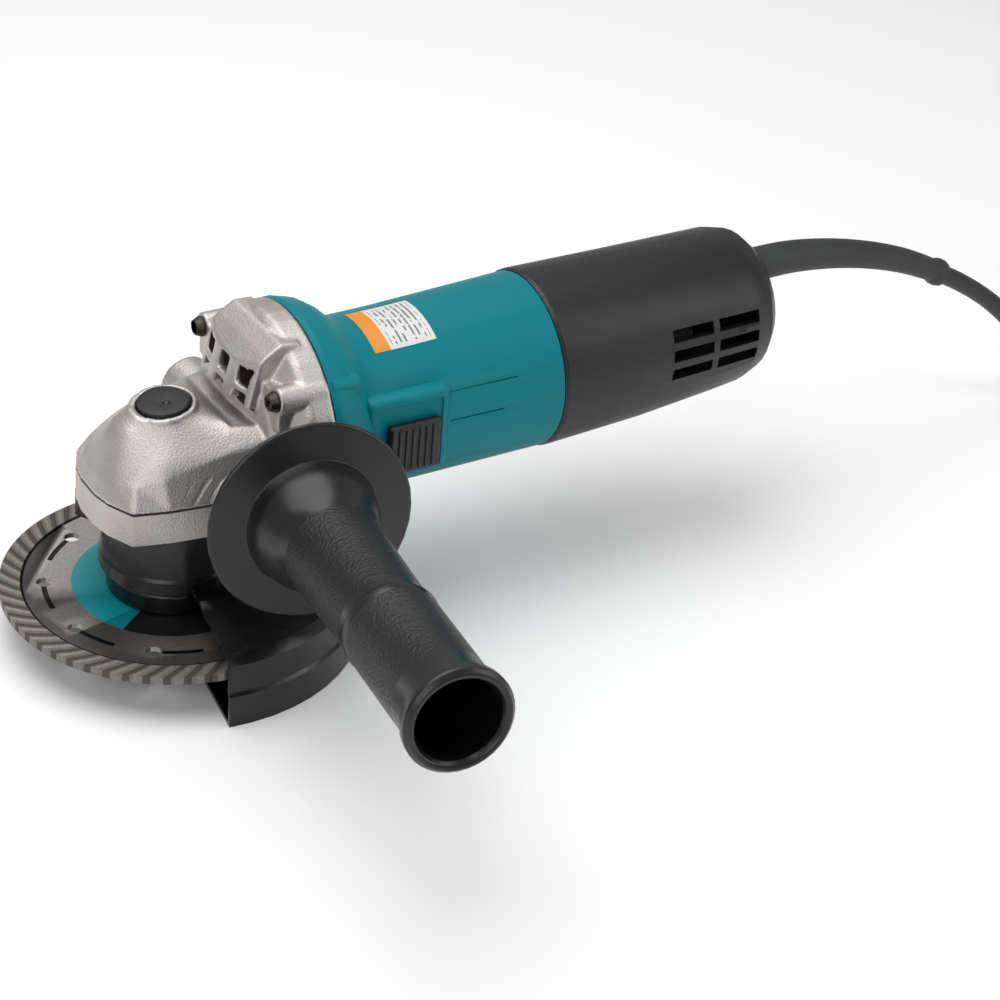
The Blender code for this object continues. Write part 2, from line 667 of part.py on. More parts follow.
def gear_housing():
    body = head_body()
    dip = [(5.6, 15.2), (13.0, 10.6), (24, 10.6), (24, 40), (5.6, 40)]
    cut(body, side_prism("grille_dip", dip, 30 * MM))
    collar_room = rod("collar_room", 25.2 * MM, (0, 0, -60 * MM), (0, 0, SKIRT_Z - 0.1 * MM), segments=40)
    flange = turned(
        "head_flange",
        [
            (0, JOINT_X),
            (HEAD_FLANGE_R, JOINT_X),
            (HEAD_FLANGE_R, 33 * MM),
            (HEAD_FLANGE_R - 1.2 * MM, 31 * MM),
            (33 * MM, 27.5 * MM),
            (27 * MM, 22 * MM),
            (0, 18 * MM),
        ],
        segments=40,
        axis="X",
    )
    join(body, flange, exhaust_block())
    cut(body, collar_room)
    y, z = FLANGE_SCREW_YZ
    corners = [(sy * y, sz * z) for sy in (-1, 1) for sz in (-1, 1)]
    for k, (cy, cz) in enumerate(corners):
        start, end = (FLANGE_SEAT_X + 0.7 * MM, cy, cz), (5 * MM, cy, cz)
        cut(body, rod(f"screw_recess_{k}", 4.9 * MM, start, end, segments=18))
    for k, (cy, cz) in enumerate(corners):
        start, end = (JOINT_X - 0.4 * MM, cy, cz), (FLANGE_SEAT_X, cy, cz)
        join(body, rod(f"head_boss_{k}", 4.6 * MM, start, end, segments=14))
    along, face = handle_axis()
    for side in (-1, 1):
        tip = face.copy()
        root = face - along * 14 * MM
        tip.y, root.y = tip.y * -side, root.y * -side
        join(body, rod(f"handle_boss_{side}", 10.5 * MM, root, tip, segments=24, end_radius=9.8 * MM))
        bottom = face - along * (STUD_REACH + 1.5 * MM)
        mouth = face + along * 2 * MM
        bottom.y, mouth.y = bottom.y * -side, mouth.y * -side
        cut(body, rod(f"handle_hole_{side}", STUD_R + GAP, bottom, mouth, segments=14))
    chamber = rod("gear_chamber", CHAMBER_R, (0, 0, -30 * MM), (0, 0, CHAMBER_TOP_Z), segments=36)
    passage = rod("pinion_passage", 8.0 * MM, (9 * MM, 0, 0), (26 * MM, 0, 0), segments=20)
    inner, outer, width = FRONT_BEARING
    seat = rod("front_bearing_seat", outer + GAP, (FRONT_BEARING_X - GAP, 0, 0), (36 * MM, 0, 0), segments=28)
    rear = rod("fan_mouth", 30.5 * MM, (34.5 * MM, 0, 0), (50 * MM, 0, 0), segments=32)
    duct = box("exhaust_duct", (20.2 * MM, -15.6 * MM, 13.1 * MM), (35.5 * MM, 15.6 * MM, 28.6 * MM))
    inner, outer, width = NEEDLE_BEARING
    seat_top = (0, 0, CHAMBER_TOP_Z + width + 0.9 * MM)
    needle = rod("needle_seat", outer + GAP, (0, 0, -3 * MM), seat_top, segments=24)
    cut(body, chamber, passage, seat, rear, duct, needle)
    low = HEAD_TOP_Z - BUTTON_THICK - BUTTON_TRAVEL - 0.5 * MM
    pocket = rod("button_pocket", BUTTON_R + GAP, (BUTTON_X, 0, low), (BUTTON_X, 0, 30 * MM), segments=28)
    pin_x = -PIN_CIRCLE_R
    pin_hole = rod("pin_hole", 2.2 * MM, (pin_x, 0, -3 * MM), (pin_x, 0, low + 2 * MM), segments=12)
    cut(body, pocket, pin_hole)
    for k, (cy, cz) in enumerate(corners):
        hole = rod(f"head_screw_hole_{k}", 2.3 * MM, (10 * MM, cy, cz), (60 * MM, cy, cz), segments=10)
        cut(body, hole)
    wide, tall = HOLE_SIZE
    for row, z in enumerate(HOLE_ROWS_Z):
        for column, y in enumerate((-HOLE_Y, 0, HOLE_Y)):
            low = (11 * MM, y - wide / 2, z - tall / 2)
            high = (22 * MM, y + wide / 2, z + tall / 2)
            cut(body, box(f"grille_{row}_{column}", low, high))
    for k, (x, y) in enumerate(box_screws()):
        low, high = (x, y, HEAD_BOTTOM_Z - 5 * MM), (x, y, HEAD_BOTTOM_Z + 3.4 * MM)
        cut(body, rod(f"box_thread_{k}", 1.8 * MM, low, high, segments=10))
    for k, (cy, cz) in enumerate(corners):
        seat_x = FLANGE_SEAT_X - GAP
        pan_screw(f"gear_housing_screw_{k + 1}", (seat_x, cy, cz), (-1, 0, 0), 2.0 * MM, 28 * MM)
    return body


def box_screws():
    """Where the four screws of the bearing box sit."""
    return [(x, side * y) for x, y in BOX_SCREWS for side in (-1, 1)]


def bearing_box():
    """The lower half of the head: it holds the lower bearing, and its neck carries the guard."""
    top = HEAD_BOTTOM_Z - GAP
    outline = [(min(x, BOX_REAR_X), y) for x, y in head_outline(0.3 * MM)]
    body = prism("bearing_box", outline, SKIRT_Z, top, "cast_aluminium")
    neck = turned(
        "box_neck",
        [
            (0, top + 2 * MM),
            (CHAMBER_R - GAP, top + 2 * MM),
            (CHAMBER_R - GAP, top - 1 * MM),
            (BOX_NECK_R, top - 2 * MM),
            (BOX_NECK_R, BOX_END_Z + 0.8 * MM),
            (BOX_NECK_R - 0.8 * MM, BOX_END_Z),
            (0, BOX_END_Z),
        ],
        segments=40,
    )
    inner, outer, width = SPINDLE_BEARING
    low = SPINDLE_BEARING_TOP_Z - width - GAP
    seat = turned(
        "box_bore",
        [
            (0, top + 6 * MM),
            (GEAR_BORE_R, top + 6 * MM),
            (GEAR_BORE_R, GEAR_BORE_Z),
            (18.6 * MM, GEAR_BORE_Z),
            (18.6 * MM, SPINDLE_BEARING_TOP_Z + 0.1 * MM),
            (outer + GAP, SPINDLE_BEARING_TOP_Z + 0.1 * MM),
            (outer + GAP, low),
            (SPINDLE_SHOULDER_R + 0.6 * MM, low),
            (SPINDLE_SHOULDER_R + 0.6 * MM, BOX_END_Z - 5 * MM),
            (0, BOX_END_Z - 5 * MM),
        ],
        segments=36,
    )
    rear = box("box_rear_cut", (BOX_REAR_X, -40 * MM, SKIRT_Z - GAP), (40 * MM, 40 * MM, 0))
    join(body, neck)
    along, face = handle_axis()
    for side in (-1, 1):
        start, end = face - along * 14.4 * MM, face.copy()
        start.y, end.y = start.y * -side, end.y * -side
        cut(body, rod(f"boss_room_{side}", 10.5 * MM + GAP, start, end, segments=24))
    cut(body, seat, rear)
    for k, (x, y) in enumerate(box_screws()):
        low, high = (x, y, SKIRT_Z - 3 * MM), (x, y, top + 5 * MM)
        cut(body, rod(f"box_hole_{k}", 1.8 * MM, low, high, segments=10))
        seat_z = SKIRT_Z + SCREW_SEAT
        cut(body, rod(f"box_recess_{k}", 3.2 * MM, low, (x, y, seat_z), segments=14))
        length = HEAD_BOTTOM_Z + 2.8 * MM - seat_z
        pan_screw(f"bearing_box_screw_{k + 1}", (x, y, seat_z - GAP), (0, 0, -1), 1.5 * MM, length)
    return body


def spindle_parts():
    profile = [
        (0, SPINDLE_TOP_Z),
        (SPINDLE_TOP_R - 0.5 * MM, SPINDLE_TOP_Z),
        (SPINDLE_TOP_R - GAP, SPINDLE_TOP_Z - 0.5 * MM),
        (SPINDLE_TOP_R - GAP, 0.2 * MM),
        (SPINDLE_SEAT_R, -0.4 * MM),
        (SPINDLE_SEAT_R, SHOULDER_TOP_Z),
        (SPINDLE_SHOULDER_R, SHOULDER_TOP_Z),
        (SPINDLE_SHOULDER_R, SHOULDER_Z),
        (SPINDLE_THREAD_R, SHOULDER_Z),
        (SPINDLE_THREAD_R, SPINDLE_END_Z + 1 * MM),
        (SPINDLE_THREAD_R - 1 * MM, SPINDLE_END_Z),
        (0, SPINDLE_END_Z),
    ]
    turned("spindle", profile, "steel", 28)
    inner, outer, width = NEEDLE_BEARING
    low = CHAMBER_TOP_Z + 0.5 * MM
    ring("spindle_needle_bearing", inner, outer, low, low + width, "steel", 24)
    inner, outer, width = SPINDLE_BEARING
    low = SPINDLE_BEARING_TOP_Z - width
    ring("spindle_ball_bearing", inner + GAP, outer, low, low + width, "steel", 32, chamfer=0.6 * MM)
    plate = SPINDLE_BEARING_TOP_Z + GAP + 0.1 * MM
    ring("bearing_retainer", 11 * MM, 18.3 * MM, plate, plate + 1.6 * MM, "steel", 28)
    bore = SPINDLE_THREAD_R + GAP
    top = SHOULDER_Z - GAP
    seat = WHEEL_Z + WHEEL_CORE / 2 + GAP
    turned(
        "inner_flange",
        [
            (bore, top),
            (FLANGE_R - 2.2 * MM, top),
            (FLANGE_R, top - 1.8 * MM),
            (FLANGE_R, seat),
            (WHEEL_BORE_R - GAP, seat),
            (WHEEL_BORE_R - GAP, seat - 1.4 * MM),
            (bore, seat - 1.4 * MM),
        ],
        "black_paint",
        32,
        closed=True,
    )


def diamond_wheel():
    half, rim = WHEEL_CORE / 2, WHEEL_RIM / 2
    inside = WHEEL_R - WHEEL_RIM_WIDTH
    wheel = turned(
        "diamond_wheel",
        [
            (WHEEL_BORE_R, WHEEL_Z + half),
            (inside, WHEEL_Z + half),
            (inside, WHEEL_Z + rim),
            (WHEEL_R, WHEEL_Z + rim),
            (WHEEL_R, WHEEL_Z - rim),
            (inside, WHEEL_Z - rim),
            (inside, WHEEL_Z - half),
            (WHEEL_BORE_R, WHEEL_Z - half),
        ],
        "wheel_steel",
        54,
        closed=True,
    )
    for k, (x, y) in enumerate(around(WHEEL_HOLES, WHEEL_HOLE_CIRCLE_R, WHEEL_HOLE_ANGLE)):
        low, high = (x, y, WHEEL_Z - 5 * MM), (x, y, WHEEL_Z + 5 * MM)
        cut(wheel, rod(f"wheel_hole_{k}", WHEEL_HOLE_R, low, high, segments=10))
    return wheel


def lock_nut():
    top = WHEEL_Z - WHEEL_CORE / 2 - GAP
    nut = turned(
        "lock_nut",
        [
            (SPINDLE_THREAD_R + GAP, top),
            (NUT_R, top),
            (NUT_R, top - 2.6 * MM),
            (14 * MM, top - NUT_THICK),
            (SPINDLE_THREAD_R + GAP, top - NUT_THICK),
        ],
        "dark_steel",
        32,
        closed=True,
    )
    for k, (x, y) in enumerate(around(2, 14.5 * MM)):
        low, high = (x, y, top - 10 * MM), (x, y, top - 1.6 * MM)
        cut(nut, rod(f"spanner_hole_{k}", 2.4 * MM, low, high, segments=12))
    return nut


# ---------------------------------------------------------------- guard


def wheel_guard():
    """Sheet steel guard for both sides of the wheel, on a clamp band round the bearing box."""
    band = BOX_NECK_R + GAP
    outer = band + COLLAR_WALL
    sheet = GUARD_SHEET
    inside_top = GUARD_TOP_Z + 2.2 * MM
    step_z = GUARD_TOP_Z - 12.5 * MM
    profile = [
        (band + 0.6 * MM, inside_top),
        (31 * MM, inside_top),
        (35 * MM, GUARD_TOP_Z),
        (GUARD_R - 4.5 * MM, GUARD_TOP_Z),
        (GUARD_R - 1.0 * MM, GUARD_TOP_Z - 2.2 * MM),
        (GUARD_R - 1.0 * MM, step_z),
        (GUARD_R, step_z - 1.0 * MM),
        (GUARD_R, GUARD_BOTTOM_Z),
        (GUARD_LIP_R, GUARD_BOTTOM_Z),
        (GUARD_LIP_R, GUARD_BOTTOM_Z + sheet),
        (GUARD_R - sheet, GUARD_BOTTOM_Z + sheet),
        (GUARD_R - sheet, step_z - 1.4 * MM),
        (GUARD_R - 1.0 * MM - sheet, step_z - 0.4 * MM),
        (GUARD_R - 1.0 * MM - sheet, GUARD_TOP_Z - 2.8 * MM),
        (GUARD_R - 5.1 * MM, GUARD_TOP_Z - sheet),
        (34.4 * MM, GUARD_TOP_Z - sheet),
        (30.4 * MM, inside_top - sheet),
        (band + 0.6 * MM, inside_top - sheet),
    ]
    guard = swept("wheel_guard", profile, GUARD_FROM, GUARD_SPAN, 26, "black_paint")
    low = inside_top - sheet - 0.2 * MM
    collar = turned(
        "guard_collar",
        [
            (band, COLLAR_TOP_Z),
            (outer, COLLAR_TOP_Z),
            (outer, -40.0 * MM),
            (outer + 0.8 * MM, -41.0 * MM),
            (outer + 0.8 * MM, low),
            (band, low),
        ],
        segments=40,
        closed=True,
    )
    frame = bpy.data.objects.new("ear_frame", None)
    PARTS.objects.link(frame)
    frame.parent = FRAME
    frame.rotation_euler = (0, 0, EAR_ANGLE)
    low_z, high_z = -37.5 * MM, COLLAR_TOP_Z - 4 * MM
    ears = box("guard_ears", (-8 * MM, outer - 1 * MM, low_z), (8 * MM, outer + 10 * MM, high_z), frame=frame)
    slit_low, slit_high = (-1.2 * MM, band - 3 * MM, low_z - 0.1 * MM), (1.2 * MM, 50 * MM, -20 * MM)
    slit = box("guard_slit", slit_low, slit_high, frame=frame)
    middle = (low_z + high_z) / 2
    hole_y = outer + 5.5 * MM
    hole_ends = (-20 * MM, hole_y, middle), (20 * MM, hole_y, middle)
    hole = rod("guard_ear_hole", 2.4 * MM, *hole_ends, segments=12, frame=frame)
    join(guard, collar, ears)
    cut(guard, slit, hole)
    pan_screw("guard_clamp_screw", (8 * MM + GAP, hole_y, middle), (1, 0, 0), 2.1 * MM, 19 * MM, frame=frame)
    return guard


# ---------------------------------------------------------------- motor


def motor_housing():
    """The teal housing: flared round the fan, straight along the stator, with a neck for the brushes."""
    y, z = FLANGE_SCREW_YZ
    body = section_loft(
        "motor_housing",
        [
            (JOINT_X + GAP, HEAD_FLANGE_R - 0.4 * MM, 0),
            (43 * MM, HEAD_FLANGE_R, 0),
            (49 * MM, 37.8 * MM, -0.2 * MM),
            (53.5 * MM, 35.2 * MM, -0.5 * MM),
            (58 * MM, 31.2 * MM, -0.9 * MM),
            (62 * MM, BARREL_R, -1.2 * MM),
            (80 * MM, BARREL_R + 0.2 * MM, -1.2 * MM),
            (SPLIT_X, BARREL_R + 0.9 * MM, 0.2 * MM),
        ],
        "teal_plastic",
        40,
    )
    neck = rod("housing_neck", NECK_R, (SPLIT_X - 4 * MM, 0, 0), (NECK_END_X, 0, 0), segments=40)
    bore = turned(
        "housing_bore",
        [
            (0, 150 * MM),
            (21 * MM, 150 * MM),
            (24 * MM, 147 * MM),
            (24 * MM, 121 * MM),
            (BARREL_BORE_R, 117 * MM),
            (BARREL_BORE_R, 62 * MM),
            (31.0 * MM, 55.5 * MM),
            (31.0 * MM, 30 * MM),
            (0, 30 * MM),
        ],
        segments=36,
        axis="X",
    )
    inner, outer, width = REAR_BEARING
    low = REAR_BEARING_X - GAP
    seat = rod("rear_bearing_seat", outer + GAP, (140 * MM, 0, 0), (low + width + 2 * GAP, 0, 0), segments=28)
    shaft_way = rod("rear_shaft_way", 6 * MM, (150 * MM, 0, 0), (180 * MM, 0, 0), segments=16)
    pillars = []
    for k, (cy, cz) in enumerate([(sy * y, sz * z) for sy in (-1, 1) for sz in (-1, 1)]):
        start, end = (JOINT_X + 1 * MM, cy, cz), (52 * MM, cy * 0.95, cz * 0.95)
        pillars.append(rod(f"housing_pillar_{k}", 4.2 * MM, start, end, segments=12))
    join(body, neck)
    cut(body, bore, seat, shaft_way)
    join(body, *pillars)
    for k, (cy, cz) in enumerate([(sy * y, sz * z) for sy in (-1, 1) for sz in (-1, 1)]):
        hole = rod(f"pillar_hole_{k}", 2.3 * MM, (30 * MM, cy, cz), (51.2 * MM, cy, cz), segments=10)
        cut(body, hole)
    for side in (-1, 1):
        low = (COMMUTATOR_X[0] - 1 * MM, min(side * 12, side * 32) * MM, -7.3 * MM)
        high = (COMMUTATOR_X[1] + 1 * MM, max(side * 12, side * 32) * MM, 7.3 * MM)
        cut(body, box(f"brush_window_{side}", low, high))
        low = (140 * MM, -6 * MM, min(side * 13, side * 20) * MM)
        high = (170 * MM, 6 * MM, max(side * 13, side * 20) * MM)
        cut(body, box(f"air_way_{side}", low, high))
    pocket = box("slider_pocket", (57.6 * MM, -45 * MM, -13 * MM), (84 * MM, -29.1 * MM, 12.5 * MM))
    slot_low = (SLIDER_X[0] + 3 * MM - SLIDER_TRAVEL - 0.6 * MM, -40 * MM, ROD_Z - 3.4 * MM)
    slot_high = (SLIDER_X[0] + 9.6 * MM, -20 * MM, ROD_Z + 3.4 * MM)
    slot = box("slider_slot", slot_low, slot_high)
    channel = box(
        "rod_channel", (57 * MM, -27.5 * MM, ROD_Z - 3.0 * MM), (200 * MM, -25 * MM, ROD_Z + 3.0 * MM)
    )
    screw = rod(
        "neck_screw_hole", 1.9 * MM, (COVER_SCREW_X, 0, -40 * MM), (COVER_SCREW_X, 0, -22.6 * MM), segments=10
    )
    return cut(body, pocket, slot, channel, screw)


def stator():
    low, high = STATOR_X
    core = ring("stator_core", STATOR_BORE_R, BARREL_BORE_R - GAP, low, high, "laminations", 36, "X")
    for side in (-1, 1):
        start = (low - 5 * MM, min(side * 14, side * 24.3) * MM, -8.6 * MM)
        end = (high + 5 * MM, max(side * 14, side * 24.3) * MM, 8.6 * MM)
        cut(core, box(f"coil_pocket_{side}", start, end))
    notch_low = (low - 5 * MM, -30 * MM, ROD_Z - 3.2 * MM)
    notch_high = (high + 5 * MM, -25.5 * MM, ROD_Z + 3.2 * MM)
    hole = box("rod_notch", notch_low, notch_high)
    cut(core, hole)
    wire_r, saddle_r, lead = 3.0 * MM, 21.2 * MM, 5.0 * MM
    first = math.asin(4.9 / 21.2)
    for name, side in (("top", 1), ("bottom", -1)):
        path = []
        arc = [first + (math.pi - 2 * first) * k / 8 for k in range(9)]
        for x, angles in ((high + lead, arc), (low - lead, arc[::-1])):
            for angle in angles:
                path.append((x, saddle_r * math.cos(angle), side * saddle_r * math.sin(angle)))
        tube(f"field_coil_{name}", path, [wire_r] * len(path), "copper", closed=True, sides=2)


def armature():
    pinion()
    shaft = [
        (0, REAR_BEARING_X + 8.5 * MM),
        (REAR_BEARING[0] - GAP, REAR_BEARING_X + 8.5 * MM),
        (REAR_BEARING[0] - GAP, REAR_BEARING_X - 1.5 * MM),
        (SHAFT_R, REAR_BEARING_X - 1.5 * MM),
        (SHAFT_R, 33 * MM),
        (FRONT_BEARING[0] - GAP, 33 * MM),
        (FRONT_BEARING[0] - GAP, 22.2 * MM),
        (2.7 * MM, 22.2 * MM),
        (2.7 * MM, 9.9 * MM),
        (0, 9.9 * MM),
    ]
    turned("armature_shaft", shaft, "steel", 20, axis="X")
    toe_x = RING_PITCH_R * (1 - GEAR_FACE_SHARE)
    nut = rod("pinion_nut", 4.4 * MM, (9.8 * MM, 0, 0), (toe_x - GAP, 0, 0), "steel", segments=6)
    cut(nut, rod("pinion_nut_bore", 3.0 * MM, (5 * MM, 0, 0), (20 * MM, 0, 0), segments=14))
    bore = SHAFT_R + GAP
    low, high = STATOR_X[0] + 1 * MM, STATOR_X[1] - 1 * MM
    outline = []
    for k in range(ARMATURE_SLOTS):
        middle = 2 * math.pi * k / ARMATURE_SLOTS
        half = math.pi / ARMATURE_SLOTS
        tooth = ((-0.86, ARMATURE_R), (0.0, ARMATURE_R), (0.86, ARMATURE_R), (1.0, ARMATURE_R - 3 * MM))
        for turn, radius in tooth:
            outline.append((radius * math.cos(middle + turn * half), radius * math.sin(middle + turn * half)))
    core = prism("armature_core", outline, low, high, "laminations")
    core.rotation_euler = (0, math.pi / 2, 0)
    cut(core, rod("armature_bore", bore, (low - 5 * MM, 0, 0), (high + 5 * MM, 0, 0), segments=20))
    ring("armature_winding_front", bore, 15.5 * MM, low - 8 * MM, low - GAP, "copper", 24, "X", 2.5 * MM)
    ring("armature_winding_rear", bore, 15.5 * MM, high + GAP, high + 9 * MM, "copper", 24, "X", 2.5 * MM)
    ring("commutator", bore, COMMUTATOR_R, *COMMUTATOR_X, "copper", 28, "X")
    fan_low, fan_high = FAN_X
    blades = []
    for k in range(FAN_BLADES):
        middle = 2 * math.pi * k / FAN_BLADES
        half = 2 * math.pi / FAN_BLADES
        for turn, radius in ((-0.5, 9), (-0.03, 9), (0.10, 27.2), (0.17, 27.2), (0.10, 9)):
            angle = middle + turn * half
            blades.append((radius * MM * math.cos(angle), radius * MM * math.sin(angle)))
    fan = prism("fan", blades, fan_low, fan_high, "black_plastic")
    fan.rotation_euler = (0, math.pi / 2, 0)
    join(fan, rod("fan_plate", FAN_R, (fan_high - 1.6 * MM, 0, 0), (fan_high + 0.6 * MM, 0, 0), segments=32))
    cut(fan, rod("fan_bore", bore, (fan_low - 5 * MM, 0, 0), (fan_high + 5 * MM, 0, 0), segments=20))
    for name, (inner, outer, width), x in (
        ("armature_bearing_front", FRONT_BEARING, FRONT_BEARING_X),
        ("armature_bearing_rear", REAR_BEARING, REAR_BEARING_X),
    ):
        ring(name, inner, outer, x, x + width, "steel", 28, "X", 0.5 * MM)
    ring("fan_baffle", 20 * MM, 30.6 * MM, 53.0 * MM, 54.4 * MM, "black_plastic", 32, "X")


def brushes():
    """One brush on each side of the commutator, in its brass holder, with its spring behind it."""
    middle = sum(COMMUTATOR_X) / 2
    for name, side in (("left", -1), ("right", 1)):

        def span(near, far):
            return sorted((side * near, side * far))

        def block(piece, half_x, half_z, near, far, material=None, bevel=0.0):
            low_y, high_y = span(near, far)
            low, high = (middle - half_x, low_y, -half_z), (middle + half_x, high_y, half_z)
            return box(piece, low, high, material, bevel)

        holder = block(f"brush_holder_{name}", 5.8 * MM, 6.8 * MM, 13.5 * MM, 25 * MM, "brass", 0.4 * MM)
        cut(holder, block(f"brush_way_{name}", 3.4 * MM, 4.4 * MM, 10 * MM, 23.9 * MM))
        brush = block(f"carbon_brush_{name}", 3.0 * MM, 4.0 * MM, 8 * MM, 18.6 * MM, "carbon")
        hole = rod(f"brush_seat_{name}", COMMUTATOR_R + GAP, (130 * MM, 0, 0), (152 * MM, 0, 0), segments=28)
        cut(brush, hole)
        path = []
        turns, steps = 3, 7
        for k in range(turns * steps + 1):
            angle = 2 * math.pi * k / steps
            depth = (19.4 + 3.7 * k / (turns * steps)) * MM
            path.append((middle + 2.2 * MM * math.cos(angle), side * depth, 2.2 * MM * math.sin(angle)))
        tube(f"brush_spring_{name}", path, [0.35 * MM] * len(path), "steel", sides=0)


def rear_cover():
    """Black cover over the brushes, the switch and the cord clamp, with air slots in both sides."""
    cover = section_loft(
        "rear_cover",
        [
            (SPLIT_X + GAP, COVER_R - 0.5 * MM, 0.3 * MM),
            (SPLIT_X + 1.6 * MM, COVER_R, 0.3 * MM),
            (170 * MM, COVER_R - 1.1 * MM, 1.2 * MM),
            (200 * MM, COVER_R - 2.5 * MM, 2.8 * MM),
            (212 * MM, COVER_R - 3.2 * MM, 3.6 * MM),
            (219 * MM, COVER_R - 5.4 * MM, 4.2 * MM),
            (223 * MM, COVER_R - 9.5 * MM, 4.5 * MM),
            (REAR_X, COVER_R - 15 * MM, 5.0 * MM),
        ],
        "black_plastic",
        36,
        capped=(False, True),
    )
    wall = cover.modifiers.new("wall", "SOLIDIFY")
    wall.thickness = COVER_WALL
    wall.offset = -1
    long, tall = VENT_SIZE
    for side in (-1, 1):
        for row, z in enumerate(VENT_ROWS_Z):
            for column, x in enumerate(VENT_COLUMNS_X):
                low = (x - long / 2, min(side * 20, side * 40) * MM, z - tall / 2)
                high = (x + long / 2, max(side * 20, side * 40) * MM, z + tall / 2)
                cut(cover, box(f"vent_{side}_{row}_{column}", low, high))
    rod_low = (SPLIT_X - 5 * MM, -27.6 * MM, ROD_Z - 3.2 * MM)
    cut(cover, box("cover_channel", rod_low, (186 * MM, -20 * MM, ROD_Z + 3.2 * MM)))
    guard_z = CORD_GUARD_PATH[0][2] * MM
    cut(cover, rod("cord_hole", 7.2 * MM, (210 * MM, 0, guard_z), (235 * MM, 0, guard_z), segments=20))
    screw_x = COVER_SCREW_X
    boss_z = -(COVER_R - 0.9 * MM)
    cut(cover, rod("cover_screw_hole", 1.9 * MM, (screw_x, 0, -40 * MM), (screw_x, 0, -20 * MM), segments=10))
    sink = rod(
        "cover_screw_sink", 4.4 * MM, (screw_x, 0, -40 * MM), (screw_x, 0, boss_z + 1.4 * MM), segments=16
    )
    cut(cover, sink)
    pan_screw("rear_cover_screw", (screw_x, 0, boss_z + 1.4 * MM - GAP), (0, 0, -1), 1.6 * MM, 6.2 * MM)
    return cover


def rear_fittings():
    switch = box(
        "power_switch", (170 * MM, -12 * MM, -14 * MM), (196 * MM, 10 * MM, 4 * MM), "black_plastic", 1 * MM
    )
    low, high = (ROD_Y - 0.55 * MM), (ROD_Y + 0.55 * MM)
    rod_z = (ROD_Z - 2.6 * MM, ROD_Z + 2.6 * MM)
    bar = box("switch_rod", (63.4 * MM, low, rod_z[0]), (178 * MM, high, rod_z[1]), "black_plastic")
    finger = box("switch_finger", (174 * MM, low + 0.3 * MM, rod_z[0]), (177.5 * MM, -12.6 * MM, rod_z[1]))
    join(bar, finger)
    front, back = SLIDER_X
    low_z, high_z = SLIDER_Z
    slider = box(
        "switch_slider", (front, -34.2 * MM, low_z), (back, -31.2 * MM, high_z), "black_plastic", 0.9 * MM
    )
    stem_low = (front + 3 * MM, -31.8 * MM, ROD_Z - 2.8 * MM)
    stem_high = (front + 9 * MM, low - GAP, ROD_Z + 2.8 * MM)
    join(slider, box("slider_stem", stem_low, stem_high))
    clamp_z = CORD_GUARD_PATH[0][2] * MM
    clamp = box(
        "cord_clamp",
        (203 * MM, -12 * MM, clamp_z - 3.5 * MM),
        (211 * MM, 12 * MM, clamp_z + 2 * MM),
        "black_plastic",
        0.8 * MM,
    )
    return switch, slider, clamp


# ---------------------------------------------------------------- controls and handle


def shaft_lock():
    top = HEAD_TOP_Z + 0.2 * MM
    low = top - BUTTON_THICK
    button = turned(
        "shaft_lock_button",
        [
            (0, top + 0.7 * MM),
            (BUTTON_R * 0.55, top + 0.6 * MM),
            (BUTTON_R - 0.9 * MM, top),
            (BUTTON_R, top - 1.0 * MM),
            (BUTTON_R, low),
            (0, low),
        ],
        "black_plastic",
        28,
    )
    button.location = (BUTTON_X, 0, 0)
    pin_low = -6.4 * MM
    rod(
        "shaft_lock_pin",
        1.85 * MM,
        (-PIN_CIRCLE_R, 0, pin_low),
        (-PIN_CIRCLE_R, 0, low - GAP),
        "steel",
        segments=14,
    )
    floor = HEAD_TOP_Z - BUTTON_THICK - BUTTON_TRAVEL - 0.5 * MM
    path = []
    turns, steps = 3, 8
    for k in range(turns * steps + 1):
        angle = 2 * math.pi * k / steps
        height = floor + 0.75 * MM + (low - floor - 1.5 * MM) * k / (turns * steps)
        path.append((-1.4 * MM + 4.8 * MM * math.cos(angle), 4.8 * MM * math.sin(angle), height))
    tube("shaft_lock_spring", path, [0.4 * MM] * len(path), "steel", sides=0)
    return button


def handle_axis():
    """Outward direction of the side handle, and the middle of the boss that it screws against."""
    forward, up = HANDLE_FORWARD, HANDLE_UP
    along = Vector(
        (-math.sin(forward) * math.cos(up), -math.cos(forward) * math.cos(up), math.sin(up))
    )
    return along, HANDLE_AT - along * (HANDLE_NECK + GAP)


